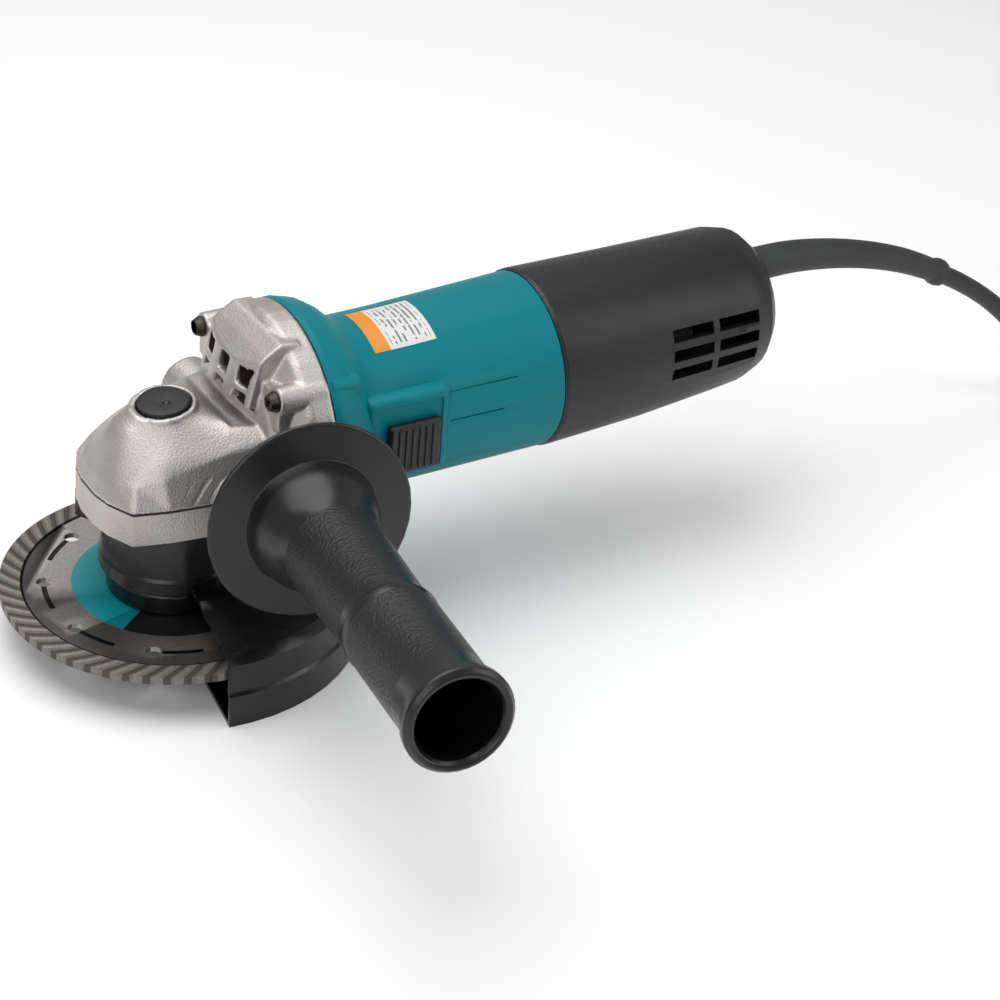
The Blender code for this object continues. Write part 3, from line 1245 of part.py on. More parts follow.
def side_handle():
    """Moulded handle: neck, thin flange, grip, ring, second grip and a flared hollow end."""
    frame = bpy.data.objects.new("handle_frame", None)
    PARTS.objects.link(frame)
    frame.parent = FRAME
    frame.location = HANDLE_AT
    along, _ = handle_axis()
    frame.rotation_mode = "QUATERNION"
    frame.rotation_quaternion = along.to_track_quat("Z", "Y")
    end, bore, grip = HANDLE_LENGTH, HANDLE_BORE_R, HANDLE_GRIP_R
    ring_at = 0.55 * end
    profile = [
        (0, end - HANDLE_BORE_DEPTH),
        (bore - 0.8 * MM, end - HANDLE_BORE_DEPTH),
        (bore, end - 2.0 * MM),
        (bore + 1.2 * MM, end - 0.3 * MM),
        (HANDLE_END_R - 1.6 * MM, end),
        (HANDLE_END_R, end - 1.8 * MM),
        (HANDLE_END_R - 0.2 * MM, end - 4.6 * MM),
        (grip - 0.2 * MM, end - 9.5 * MM),
        (grip - 0.1 * MM, ring_at + 3.0 * MM),
        (grip + 0.3 * MM, ring_at + 1.4 * MM),
        (grip - 0.1 * MM, ring_at),
        (grip - 0.8 * MM, ring_at - 0.6 * MM),
        (grip, 36 * MM),
        (grip + 0.5 * MM, 20 * MM),
        (grip + 2.4 * MM, 13.5 * MM),
        (grip + 4.6 * MM, 9.5 * MM),
        (grip + 5.6 * MM, 4.0 * MM),
        (grip + 6.6 * MM, 0.6 * MM),
        (HANDLE_FLANGE_R - 0.8 * MM, -0.4 * MM),
        (HANDLE_FLANGE_R, -1.2 * MM),
        (HANDLE_FLANGE_R - 0.4 * MM, -2.4 * MM),
        (HANDLE_NECK_R + 2.0 * MM, -3.2 * MM),
        (HANDLE_NECK_R, -5.0 * MM),
        (HANDLE_NECK_R, -HANDLE_NECK),
        (STUD_R + GAP, -HANDLE_NECK),
        (STUD_R + GAP, 24 * MM),
        (0, 24 * MM),
    ]
    handle = turned("side_handle", profile, "black_plastic", 36, frame=frame)
    stud = [
        (0, 23.6 * MM),
        (STUD_R, 23.6 * MM),
        (STUD_R, -HANDLE_NECK - STUD_REACH + 0.8 * MM),
        (STUD_R - 0.8 * MM, -HANDLE_NECK - STUD_REACH),
        (0, -HANDLE_NECK - STUD_REACH),
    ]
    turned("handle_stud", stud, "steel", 16, frame=frame)
    return handle


# ---------------------------------------------------------------- cord


def cord_parts():
    in_metres = [Vector(point) * MM for point in CORD_GUARD_PATH]
    path = smooth_path(in_metres, 3)
    count = len(path)
    radii = []
    for k, point in enumerate(path):
        share = k / (count - 1)
        radius = (6.6 - 2.5 * share) * MM
        if point.x < 219.6 * MM:
            radius = 8.8 * MM
        if k in (count - 3, count - 2):
            radius = 5.1 * MM
        radii.append(radius)
    tube("cord_guard", path, radii, "black_rubber", sides=3)
    route = smooth_path([Vector(point) * MM for point in CORD_ROUTE], 3)
    tube("power_cord", route, [CORD_R] * len(route), "black_rubber", sides=2)
    inner, outer = COIL_RADII
    floor = GUARD_BOTTOM_Z
    low = floor + COIL_LIFT
    high = low + COIL_LAYERS * 2 * CORD_R + 0.2 * MM
    x, y = COIL_AT[0] * MM, COIL_AT[1] * MM
    coil = ring("cord_coil", inner - CORD_R, outer + CORD_R, low, high, "black_rubber", 40, chamfer=2 * MM)
    coil.location = (x, y, 0)
    frame = bpy.data.objects.new("coil_frame", None)
    PARTS.objects.link(frame)
    frame.parent = FRAME
    frame.location = (x, y, 0)
    frame.rotation_euler = (0, 0, COIL_ENTRY)
    near, far = inner - CORD_R - 0.6 * MM, outer + CORD_R + 0.5 * MM
    band, half = 0.8 * MM, 4 * MM
    tie_low, tie_high = (-far - band, -half, floor), (-near + band, half, high + GAP + band)
    tie = box("cord_tie", tie_low, tie_high, "black_plastic", frame=frame)
    way_low, way_high = (-far, -2 * half, floor + band), (-near, 2 * half, high + GAP)
    cut(tie, box("tie_way", way_low, way_high, frame=frame))
    plug(outer, floor, frame)


def plug(away, floor, frame):
    """Two-blade mains plug beside the coil, on the line that the last turn leaves on."""
    start, grip, face = 30.0 * MM, 46.0 * MM, 74.0 * MM
    height = 10.4 * MM
    middle = floor + height
    low, high = (away - 9 * MM, grip, floor), (away + 9 * MM, face, floor + 2 * height)
    body = box("plug_body", low, high, "black_rubber", 2.0 * MM, frame=frame)
    ends = (away, start, middle), (away, grip + 4 * MM, middle)
    join(body, rod("plug_tail", 4.4 * MM, *ends, segments=16, end_radius=6.5 * MM, frame=frame))
    for name, side in (("left", -1), ("right", 1)):
        blade = away + side * 6.35 * MM
        low = (blade - 0.75 * MM, face + GAP, middle - 3.2 * MM)
        high = (blade + 0.75 * MM, face + 17 * MM, middle + 3.2 * MM)
        box(f"plug_pin_{name}", low, high, "brass", frame=frame)


# ---------------------------------------------------------------- placing


def stand_on_origin(left_out):
    """Moves the design frame, so that the origin is below the middle of the machine itself."""
    bpy.context.view_layer.update()
    graph = bpy.context.evaluated_depsgraph_get()
    lows, highs = [math.inf] * 3, [-math.inf] * 3
    for thing in PARTS.objects:
        if thing.type == "EMPTY" or thing.name in left_out:
            continue
        evaluated = thing.evaluated_get(graph)
        mesh = evaluated.to_mesh()
        for vert in mesh.vertices:
            place = evaluated.matrix_world @ vert.co
            lows = [min(a, b) for a, b in zip(lows, place)]
            highs = [max(a, b) for a, b in zip(highs, place)]
        evaluated.to_mesh_clear()
    middle = [-(a + b) / 2 for a, b in zip(lows, highs)]
    FRAME.location = (middle[0], middle[1], -lows[2])


def main():
    gear_housing()
    bearing_box()
    spindle_parts()
    ring_gear()
    diamond_wheel()
    lock_nut()
    wheel_guard()
    motor_housing()
    stator()
    armature()
    brushes()
    rear_cover()
    rear_fittings()
    shaft_lock()
    side_handle()
    cord_parts()
    plug_names = ("plug_body", "plug_pin_left", "plug_pin_right")
    on_cord = ("cord_guard", "power_cord", "cord_coil", "cord_tie") + plug_names
    stand_on_origin(on_cord)
    bpy.context.view_layer.update()


main()
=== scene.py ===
"""The looks of a corded angle grinder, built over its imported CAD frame."""

import math

import bpy
from mathutils import Matrix, Vector


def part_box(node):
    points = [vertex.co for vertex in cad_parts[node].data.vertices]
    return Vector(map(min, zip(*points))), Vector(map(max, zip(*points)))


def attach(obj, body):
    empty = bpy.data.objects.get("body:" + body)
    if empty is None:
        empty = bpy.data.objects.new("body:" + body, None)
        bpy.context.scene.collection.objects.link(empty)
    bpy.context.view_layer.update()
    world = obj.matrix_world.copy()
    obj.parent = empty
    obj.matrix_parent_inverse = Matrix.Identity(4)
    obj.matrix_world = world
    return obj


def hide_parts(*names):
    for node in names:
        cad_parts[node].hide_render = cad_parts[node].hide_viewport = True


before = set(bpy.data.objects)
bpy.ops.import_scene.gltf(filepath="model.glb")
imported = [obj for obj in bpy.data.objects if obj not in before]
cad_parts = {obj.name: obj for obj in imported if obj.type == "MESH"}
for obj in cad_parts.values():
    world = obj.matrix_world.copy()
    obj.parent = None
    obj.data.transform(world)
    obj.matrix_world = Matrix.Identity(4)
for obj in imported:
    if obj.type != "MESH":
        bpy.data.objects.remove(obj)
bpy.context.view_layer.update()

# ---------------------------------------------------------------- camera, light and floor
# A product shot from the side handle's side, a little above the gear head: soft light from a large
# overhead box, a fill beside the camera, a tall strip off the tail, and a plain pale floor.

MM = 0.001
spindle_low, spindle_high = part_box("spindle")
SPINDLE_TOP = 7.2  # above the motor's axis
CROSSING = Vector(
    (
        (spindle_low[0] + spindle_high[0]) / 2,
        (spindle_low[1] + spindle_high[1]) / 2,
        spindle_high[2] - SPINDLE_TOP * MM,
    )
)


def at(x, y, z):
    """A place in millimetres from where the spindle's axis meets the motor's."""
    return CROSSING + Vector((x, y, z)) * MM


azimuth, elevation, roll = math.radians(-31.74), math.radians(30.85), math.radians(4.0)
back = Vector(
    (
        math.sin(azimuth) * math.cos(elevation),
        -math.cos(azimuth) * math.cos(elevation),
        math.sin(elevation),
    )
)
level = Vector((math.cos(azimuth), math.sin(azimuth), 0))
upright = back.cross(level)
right = math.cos(roll) * level + math.sin(roll) * upright
upward = math.cos(roll) * upright - math.sin(roll) * level
camera = bpy.data.objects.new("camera", bpy.data.cameras.new("camera"))
bpy.context.scene.collection.objects.link(camera)
camera.data.lens = 110
camera.data.shift_x = 0.050
camera.data.shift_y = -0.070
camera.data.clip_start = 0.02
turn = Matrix((right, upward, back)).transposed().to_4x4()
camera.matrix_world = Matrix.Translation(at(90, -25, -5) + back * 1.018) @ turn
bpy.context.scene.camera = camera
bpy.context.scene.view_settings.view_transform = "Standard"


def linear(hex_colour, alpha=1.0):
    """An sRGB hex colour as the linear values that a shader takes."""
    parts = [int(hex_colour[k : k + 2], 16) / 255 for k in (1, 3, 5)]
    return (*[c / 12.92 if c <= 0.04045 else ((c + 0.055) / 1.055) ** 2.4 for c in parts], alpha)


def add(tree, kind, inputs=None, **settings):
    """Adds a node with its settings. An input is a value, or another node's socket to link from."""
    made = tree.nodes.new(kind)
    for name, value in settings.items():
        setattr(made, name, value)
    for key, value in (inputs or {}).items():
        if isinstance(value, bpy.types.NodeSocket):
            tree.links.new(value, made.inputs[key])
        else:
            made.inputs[key].default_value = value
    return made


def new_finish(name, colour, roughness, metallic=0.0):
    """A material with its Principled shader, and the object's own coordinates for its patterns."""
    material = bpy.data.materials.new(name)
    material.use_nodes = True
    shader = material.node_tree.nodes["Principled BSDF"]
    shader.inputs["Base Color"].default_value = linear(colour)
    shader.inputs["Roughness"].default_value = roughness
    shader.inputs["Metallic"].default_value = metallic
    place = add(material.node_tree, "ShaderNodeTexCoord").outputs["Object"]
    return material, material.node_tree, shader, place


def area_light(name, place, aim, size, power, colour="#FFFFFF"):
    light = bpy.data.objects.new(name, bpy.data.lights.new(name, "AREA"))
    bpy.context.scene.collection.objects.link(light)
    light.data.shape = "RECTANGLE"
    light.data.size, light.data.size_y = size
    light.data.energy = power
    light.data.color = linear(colour)[:3]
    light.location = place
    light.rotation_euler = (aim - place).to_track_quat("-Z", "Y").to_euler()


area_light("overhead_box", at(-60, 160, 760), at(60, -10, 0), (1.0, 0.7), 5.5)
area_light("camera_fill", at(-620, -620, 420), at(60, -20, -10), (0.6, 0.6), 2.0)
area_light("tail_strip", at(620, -420, 380), at(120, 0, 0), (0.25, 0.9), 1.4)
world = bpy.data.worlds.new("studio")
world.use_nodes = True
world.node_tree.nodes["Background"].inputs["Color"].default_value = linear("#FFFFFF")
world.node_tree.nodes["Background"].inputs["Strength"].default_value = 0.46
bpy.context.scene.world = world

bpy.ops.mesh.primitive_plane_add(size=9, location=(0, 0, 0))
floor = bpy.context.object
floor.name = "studio_floor"
paper = new_finish("matt_white_paper", "#FBFBFB", 0.9)[0]
floor.data.materials.append(paper)

# ---------------------------------------------------------------- mains lead and its coil
# A 7 mm two-core lead with a soft PVC sheath. It comes out of the tapered guard, sags to the floor and
# is wound there in two layers, under a plastic tie, with a moulded two-blade plug on its end.

LEAD_RADIUS = 3.5
LEAD_ROUTE = (
    (315.8, 0.0, -6.2),
    (324.0, 0.0, -10.9),
    (333.0, 0.0, -16.8),
    (342.0, 0.0, -23.6),
    (350.5, -0.4, -31.2),
    (358.5, -1.4, -39.6),
    (367.0, -3.4, -48.0),
    (376.5, -7.0, -55.6),
    (387.0, -12.6, -61.4),
    (398.0, -20.2, -64.8),
    (408.6, -29.6, -66.2),
    (417.8, -37.9, -66.4),
    (426.8, -45.2, -66.4),
    (435.4, -51.5, -66.4),
)
COIL_MIDDLE = Vector((471.1, -0.5, 0))
COIL_ENTRY = math.radians(-125)
TURN_RADII = (55, 48, 41, 34)
LAYER_HEIGHTS = (-66.4, -59.4)
STEP_SHARE = 0.16  # of a turn, to step over to the next one
ENTRY_SWING = 7.3  # how far outside the first turn the lead comes in
ENTRY_SHARE = 0.3


def smooth_route(points, per_span):
    """Points along a smooth curve through the given ones."""
    points = [Vector(point) for point in points]
    ends = [2 * points[0] - points[1], *points, 2 * points[-1] - points[-2]]
    path = []
    for a, b, c, d in zip(ends, ends[1:], ends[2:], ends[3:]):
        for step in range(per_span):
            t = step / per_span
            bend = (2 * a - 5 * b + 4 * c - d) * t**2 + (3 * b - 3 * c + d - a) * t**3
            path.append(0.5 * (2 * b + (c - a) * t + bend))
    return [*path, points[-1]]


def eased(t):
    t = min(max(t, 0.0), 1.0)
    return t * t * (3 - 2 * t)


def coil_turns():
    """The lower layer winds inwards and the upper one outwards; each turn steps over at its end."""
    radii = [*TURN_RADII, *reversed(TURN_RADII)]
    low, high = LAYER_HEIGHTS
    steps = 40
    points = []
    for k, radius in enumerate(radii):
        following = radii[min(k + 1, len(radii) - 1)]
        for step in range(steps):
            share = step / steps
            step_over = eased((share - (1 - STEP_SHARE)) / STEP_SHARE)
            away = radius + (following - radius) * step_over
            if k == 0:
                away += ENTRY_SWING * (1 - eased(share / ENTRY_SHARE))
            height = low if k < len(TURN_RADII) else high
            if k == len(TURN_RADII) - 1:
                height = low + (high - low) * step_over
            angle = COIL_ENTRY + 2 * math.pi * share
            direction = Vector((math.cos(angle), math.sin(angle), 0))
            points.append(COIL_MIDDLE + direction * away + Vector((0, 0, height)))
    return points


outward = Vector((math.cos(COIL_ENTRY), math.sin(COIL_ENTRY), 0))
along = Vector((-math.sin(COIL_ENTRY), math.cos(COIL_ENTRY), 0))
PLUG_HEIGHT = -60.6
TAIL_LENGTH = 31
coil = coil_turns()
tail = []
for step in range(8):
    run = step / 7 * TAIL_LENGTH
    height = LAYER_HEIGHTS[1] + (PLUG_HEIGHT - LAYER_HEIGHTS[1]) * eased(run / TAIL_LENGTH)
    tail.append(COIL_MIDDLE + outward * TURN_RADII[0] + along * run + Vector((0, 0, height)))
whole_route = [*smooth_route(LEAD_ROUTE, 4)[:-1], *coil, *tail]


def tube(name, points, radii, sides=5):
    """A round tube through points in millimetres, with closed ends."""
    curve = bpy.data.curves.new(name, "CURVE")
    curve.dimensions = "3D"
    curve.bevel_depth = MM
    curve.bevel_resolution = sides
    curve.use_fill_caps = True
    spline = curve.splines.new("POLY")
    spline.points.add(len(points) - 1)
    for point, where, radius in zip(spline.points, points, radii):
        point.co = (*at(*where), 1)
        point.radius = radius
    spline.use_smooth = True
    piece = bpy.data.objects.new(name, curve)
    bpy.context.scene.collection.objects.link(piece)
    return piece


def mix_colour(tree, factor, low, high):
    """A colour between two hex colours, or between the colours of two sockets."""
    ends = [linear(end) if isinstance(end, str) else end for end in (low, high)]
    made = add(
        tree, "ShaderNodeMix", {"Factor": factor, "A": ends[0], "B": ends[1]}, data_type="RGBA"
    )
    return made.outputs["Result"]


def noise(tree, place, scale, detail=3.0):
    made = add(tree, "ShaderNodeTexNoise", {"Vector": place, "Scale": scale, "Detail": detail})
    return made.outputs["Fac"]


def bumped(tree, shader, height, strength, depth):
    """A height pattern as the shader's normals; depth in millimetres."""
    inputs = {"Height": height, "Strength": strength, "Distance": depth * MM}
    made = add(tree, "ShaderNodeBump", inputs)
    tree.links.new(made.outputs["Normal"], shader.inputs["Normal"])


def spread(tree, value, low, high):
    """A pattern of 0 to 1 as values from low to high."""
    made = add(tree, "ShaderNodeMapRange", {"Value": value, "To Min": low, "To Max": high})
    return made.outputs["Result"]


# Soft PVC: dark, half matt, with a faint haze of handling and a very slight orange peel.
pvc, tree, shader, place = new_finish("soft_pvc_sheath", "#1B1B1C", 0.46)
dull = spread(tree, noise(tree, place, 90.0, 4.0), 0.4, 0.56)
tree.links.new(dull, shader.inputs["Roughness"])
bumped(tree, shader, noise(tree, place, 1400.0, 2.0), 0.12, 0.3)

lead = tube("mains_lead", whole_route, [LEAD_RADIUS] * len(whole_route))
lead.data.materials.append(pvc)
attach(lead, "machine")
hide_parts("power_cord", "cord_coil")


def finish_nodes(finish, *names):
    """Gives CAD pieces whose shape is right their real finish."""
    for name in names:
        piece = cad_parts[name]
        piece.data.materials.clear()
        piece.data.materials.append(finish)


def deselect():
    for piece in bpy.context.selected_objects:
        piece.select_set(False)


def select_only(piece):
    deselect()
    piece.select_set(True)
    bpy.context.view_layer.objects.active = piece


def refined(name, *nodes, angle=30):
    """A joined-up, smooth-shaded copy of CAD solids, to be worked on, that stands for them."""
    deselect()
    copies = []
    for node in nodes:
        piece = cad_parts[node].copy()
        piece.data = piece.data.copy()
        piece.parent = None
        piece.matrix_world = Matrix.Identity(4)
        bpy.context.scene.collection.objects.link(piece)
        piece.select_set(True)
        copies.append(piece)
    bpy.context.view_layer.objects.active = copies[0]
    if len(copies) > 1:
        bpy.ops.object.join()
    piece = bpy.context.object
    piece.name = name
    bpy.ops.object.mode_set(mode="EDIT")
    bpy.ops.mesh.select_all(action="SELECT")
    bpy.ops.mesh.remove_doubles(threshold=0.000004)
    bpy.ops.mesh.dissolve_limited(angle_limit=math.radians(0.4))
    bpy.ops.object.mode_set(mode="OBJECT")
    bpy.ops.object.shade_smooth_by_angle(angle=math.radians(angle))
    piece.data.materials.clear()
    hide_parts(*nodes)
    return piece


def soft_edges(piece, width, segments=2, angle=30):
    """Rounds a piece's sharp edges and applies the result."""
    select_only(piece)
    modifier = piece.modifiers.new("edges", "BEVEL")
    modifier.width = width * MM
    modifier.segments = segments
    modifier.limit_method = "ANGLE"
    modifier.angle_limit = math.radians(angle)
    modifier.harden_normals = False
    bpy.ops.object.modifier_apply(modifier=modifier.name)
    bpy.ops.object.shade_smooth_by_angle(angle=math.radians(angle))


tie = refined("lead_tie", "cord_tie")
soft_edges(tie, 0.3)
nylon_black = new_finish("black_nylon", "#161617", 0.4)[0]
tie.data.materials.append(nylon_black)
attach(tie, "machine")

plug_shell = refined("plug_shell", "plug_body")
soft_edges(plug_shell, 0.8, 3)
plug_shell.data.materials.append(pvc)
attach(plug_shell, "machine")
blades = refined("plug_blades", "plug_pin_left", "plug_pin_right")
soft_edges(blades, 0.25)
plug_brass = new_finish("nickel_plated_brass", "#C9C2AE", 0.24, 1.0)[0]
blades.data.materials.append(plug_brass)
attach(blades, "machine")

# ---------------------------------------------------------------- lead guard
# A rubber sleeve moulded round the lead: it leaves the rear cover thick, tapers along its length, and
# ends in a small rolled bead.

SLEEVE_ROUTE = (
    (219.4, 0.0, 16.0),
    (224.4, 0.0, 16.2),
    (240.0, 0.0, 16.4),
    (254.0, 0.0, 15.0),
    (268.0, 0.0, 12.4),
    (282.0, 0.0, 8.6),
    (295.0, 0.0, 4.0),
    (306.0, 0.0, -1.0),
    (315.5, 0.0, -6.0),
)
SLEEVE_RADIUS = 6.6
SLEEVE_TAPER = 2.5
BEAD_FOOT = 4.05
BEAD_RISE = 1.15
BEAD_MIDDLE = 3.0  # from the sleeve's end
BEAD_HALF_LENGTH = 2.9
sleeve_path = smooth_route(SLEEVE_ROUTE, 10)
radii = []
for k, point in enumerate(sleeve_path):
    share = k / (len(sleeve_path) - 1)
    from_end = (sleeve_path[-1] - point).length
    bead = math.sqrt(max(0.0, 1 - ((from_end - BEAD_MIDDLE) / BEAD_HALF_LENGTH) ** 2))
    radii.append(max(SLEEVE_RADIUS - SLEEVE_TAPER * share, BEAD_FOOT + BEAD_RISE * bead))
sleeve = tube("lead_sleeve", sleeve_path, radii, 10)
rubber, tree, shader, place = new_finish("moulded_rubber", "#232425", 0.58)
dust = mix_colour(tree, noise(tree, place, 60.0, 5.0), "#1E1F20", "#2E3031")
tree.links.new(dust, shader.inputs["Base Color"])
bumped(tree, shader, noise(tree, place, 900.0, 3.0), 0.2, 0.3)
sleeve.data.materials.append(rubber)
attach(sleeve, "machine")
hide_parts("cord_guard")

# ---------------------------------------------------------------- gear head
# The head is a pressure die casting in aluminium, shot-blasted and left bare. It carries the gears, the
# exhaust grille and the handle bosses, and four long screws hold it to the motor housing.


def carve(piece, operation, tools):
    """Applies Booleans with the tools, and removes them."""
    select_only(piece)
    for tool in tools:
        modifier = piece.modifiers.new(tool.name, "BOOLEAN")
        modifier.operation = operation
        modifier.object = tool
        modifier.solver = "EXACT"
        bpy.ops.object.modifier_apply(modifier=modifier.name)
    for tool in tools:
        bpy.data.objects.remove(tool)


def turn_and_apply(piece, degrees):
    piece.rotation_euler = [math.radians(angle) for angle in degrees]
    bpy.ops.object.transform_apply(location=True, rotation=True, scale=True)


def block(name, middle, size, turned=(0, 0, 0)):
    """A box in millimetres and degrees, its transform applied."""
    deselect()
    bpy.ops.mesh.primitive_cube_add(size=MM, location=at(*middle))
    piece = bpy.context.object
    piece.name = name
    piece.scale = size
    turn_and_apply(piece, turned)
    return piece


def cylinder(name, middle, radius, depth, sides):
    """An upright cylinder in millimetres."""
    deselect()
    bpy.ops.mesh.primitive_cylinder_add(
        vertices=sides, radius=radius * MM, depth=depth * MM, location=at(*middle)
    )
    piece = bpy.context.object
    piece.name = name
    return piece


BUTTON_X = -3.4
CROWN_TILT = (0, -7, 0)
DOME_BACK = 11
DOME_HALF_WIDTH = 24
BUTTON_CLEARANCE = 12.0


head = refined("gear_head", "gear_housing")
grooves = []
for k, x in enumerate((-6.6, -1.4, 3.8)):
    grooves.append(block(f"groove_{k}", (x, -25.4, -5.6), (1.3, 2.6, 10.5), (-17, 42, 0)))
ARROW_SLOPE = (0, -37, 0)
arrow_bar = block("arrow_bar", (-18.6, -1.5, 9.6), (2.6, 9.0, 2.2), ARROW_SLOPE)
arrow_tip = cylinder("arrow_tip", (-18.6, 4.2, 9.6), 3.4, 2.2, 3)
turn_and_apply(arrow_tip, ARROW_SLOPE)
sill = cylinder("grille_sill", (63.9, 0, 9.9), 50, 1.6, 96)
carve(sill, "INTERSECT", [block("sill_ends", (15, 0, 11), (7, 35.6, 12))])
pads = [block(f"screw_pad_{side}", (29, side * 23.0, 18.6), (12, 12.4, 13.2)) for side in (-1, 1)]
surround = cylinder("button_surround", (BUTTON_X, 0, 10.6), 11.2, 8, 64)
turn_and_apply(surround, CROWN_TILT)
carve(surround, "DIFFERENCE", [cylinder("button_room", (BUTTON_X, 0, 14), 9.1, 30, 64)])
carve(head, "UNION", [arrow_bar, arrow_tip, sill, surround, *pads])
select_only(head)
remesh = head.modifiers.new("cast_skin", "REMESH")
remesh.mode = "VOXEL"
remesh.voxel_size = 0.6 * MM
bpy.ops.object.modifier_apply(modifier=remesh.name)
dome = head.vertex_groups.new(name="dome")
button_middle = Vector((BUTTON_X, 0))
for vertex in head.data.vertices:
    where = (vertex.co - CROSSING) / MM
    crease = 0.28 * where.x + 3.0
    clear_of_button = (where.xy - button_middle).length > BUTTON_CLEARANCE
    in_front = where.x < DOME_BACK and abs(where.y) < DOME_HALF_WIDTH
    if in_front and where.z > crease and clear_of_button:
        dome.add([vertex.index], 1.0, "REPLACE")
swell = head.modifiers.new("dome", "SMOOTH")
swell.vertex_group = "dome"
swell.factor = 0.5
swell.iterations = 240
bpy.ops.object.modifier_apply(modifier=swell.name)
carve(head, "DIFFERENCE", grooves)
rounding = head.modifiers.new("rounding", "SMOOTH")
rounding.factor = 0.5
rounding.iterations = 6
bpy.ops.object.modifier_apply(modifier=rounding.name)
bpy.ops.object.shade_smooth()

# Bare cast aluminium: a warm silver with cloudy tone, whose blasted skin scatters light in a fine
# grain. The real grain is about 0.2 mm; it is drawn at 0.7 mm so that it still shows at this distance.
aluminium, tree, shader, place = new_finish("shot_blasted_aluminium", "#B9B6B3", 0.46, 1.0)
tone = mix_colour(tree, noise(tree, place, 45.0, 6.0), "#A8A19C", "#CFCBC9")
tree.links.new(tone, shader.inputs["Base Color"])
bumped(tree, shader, noise(tree, place, 1400.0), 0.5, 0.35)
head.data.materials.append(aluminium)
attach(head, "machine")

# Blackened steel screws, each with a cross recess.
screw_steel, tree, shader, place = new_finish("blackened_steel", "#3A3733", 0.38, 1.0)
tone = mix_colour(tree, noise(tree, place, 500.0), "#2A2825", "#57524C")
tree.links.new(tone, shader.inputs["Base Color"])
castings = ("gear_housing", "bearing_box")
screws = [f"{casting}_screw_{k}" for casting in castings for k in range(1, 5)]
for node in [*screws, "rear_cover_screw", "guard_clamp_screw"]:
    screw = refined(node.replace("screw", "fastener"), node, angle=35)
    soft_edges(screw, 0.2)
    screw.data.materials.append(screw_steel)
    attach(screw, "guard" if node == "guard_clamp_screw" else "machine")

# ---------------------------------------------------------------- bearing box and flange stack
# The lower half of the head is a second casting in the same bare aluminium. Below it the wheel is held
# between a painted flange and a blackened lock nut on the ground spindle.

box_casting = refined("bearing_casting", "bearing_box")
soft_edges(box_casting, 0.9, 3)
box_casting.data.materials.append(aluminium)
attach(box_casting, "machine")

# Black gloss paint with the slight ripple of a sprayed coat.
paint, tree, shader, place = new_finish("sprayed_black_paint", "#060607", 0.24)
bumped(tree, shader, noise(tree, place, 260.0), 0.16, 0.4)
haze = spread(tree, noise(tree, place, 70.0, 5.0), 0.18, 0.34)
tree.links.new(haze, shader.inputs["Roughness"])
clamp_flange = refined("clamping_flange", "inner_flange")
soft_edges(clamp_flange, 0.4)
clamp_flange.data.materials.append(paint)
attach(clamp_flange, "spindle_group")
nut = refined("clamping_nut", "lock_nut")
soft_edges(nut, 0.35)
nut.data.materials.append(screw_steel)
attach(nut, "spindle_group")

# ---------------------------------------------------------------- wheel guard
# Pressed sheet steel in black paint, welded to the clamp band that holds it round the bearing box.
guard = refined("guard_shell", "wheel_guard")
soft_edges(guard, 0.45, 3)
guard.data.materials.append(paint)
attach(guard, "guard")

# ---------------------------------------------------------------- diamond wheel
# A ground steel core with cooling holes and a printed middle, and a sintered rim of diamond grit in
# bronze with slanted turbo ribs.


def calc(tree, operation, a, b=0.0):
    return add(tree, "ShaderNodeMath", {0: a, 1: b}, operation=operation).outputs["Value"]


def between(tree, value, low, high):
    """1 where the value lies between the two limits, else 0."""
    above = calc(tree, "GREATER_THAN", value, low)
    return calc(tree, "MULTIPLY", above, calc(tree, "LESS_THAN", value, high))


def polar(tree, place):
    """Radius from the spindle in millimetres, and the angle round it, of a place."""
    from_axis = add(
        tree, "ShaderNodeVectorMath", {0: place, 1: tuple(CROSSING)}, operation="SUBTRACT"
    )
    parts = add(tree, "ShaderNodeSeparateXYZ", {"Vector": from_axis.outputs["Vector"]})
    flat = add(
        tree, "ShaderNodeCombineXYZ", {"X": parts.outputs["X"], "Y": parts.outputs["Y"]}
    )
    length = add(tree, "ShaderNodeVectorMath", {0: flat.outputs["Vector"]}, operation="LENGTH")
    in_mm = calc(tree, "MULTIPLY", length.outputs["Value"], 1 / MM)
    return in_mm, calc(tree, "ARCTAN2", parts.outputs["Y"], parts.outputs["X"])


PRINT_RADIUS = 33.0
ARC_INNER, ARC_OUTER = 41.2, 43.0
LINE_RADIUS, RIM_RADIUS = 49.0, 49.9
RIB_COUNT, RIB_SLANT = 54.0, 0.85
wheel = refined("wheel_disc", "diamond_wheel")
wheel_face, tree, shader, place = new_finish("ground_steel_with_turbo_rim", "#A8A5A1", 0.36, 1.0)
radius, angle = polar(tree, place)
brushed = noise(tree, place, 700.0)
steel = mix_colour(tree, brushed, "#8F8B87", "#BDBAB6")
slanted = calc(tree, "MULTIPLY", radius, RIB_SLANT)
turning = calc(tree, "ADD", calc(tree, "MULTIPLY", angle, RIB_COUNT), slanted)
ribs = calc(tree, "SINE", turning)
grit = mix_colour(tree, noise(tree, place, 1100.0), "#6B6661", "#A39D96")
ribbed = mix_colour(tree, calc(tree, "GREATER_THAN", ribs, 0.35), grit, "#5C5752")
on_rim = calc(tree, "GREATER_THAN", radius, RIM_RADIUS)
faced = mix_colour(tree, on_rim, steel, ribbed)
ring_line = mix_colour(tree, between(tree, radius, LINE_RADIUS, RIM_RADIUS), faced, "#2B2826")
dashes = calc(tree, "GREATER_THAN", calc(tree, "SINE", calc(tree, "MULTIPLY", angle, 9.0)), 0.1)
arcs = calc(tree, "MULTIPLY", between(tree, radius, ARC_INNER, ARC_OUTER), dashes)
arced = mix_colour(tree, arcs, ring_line, "#252423")
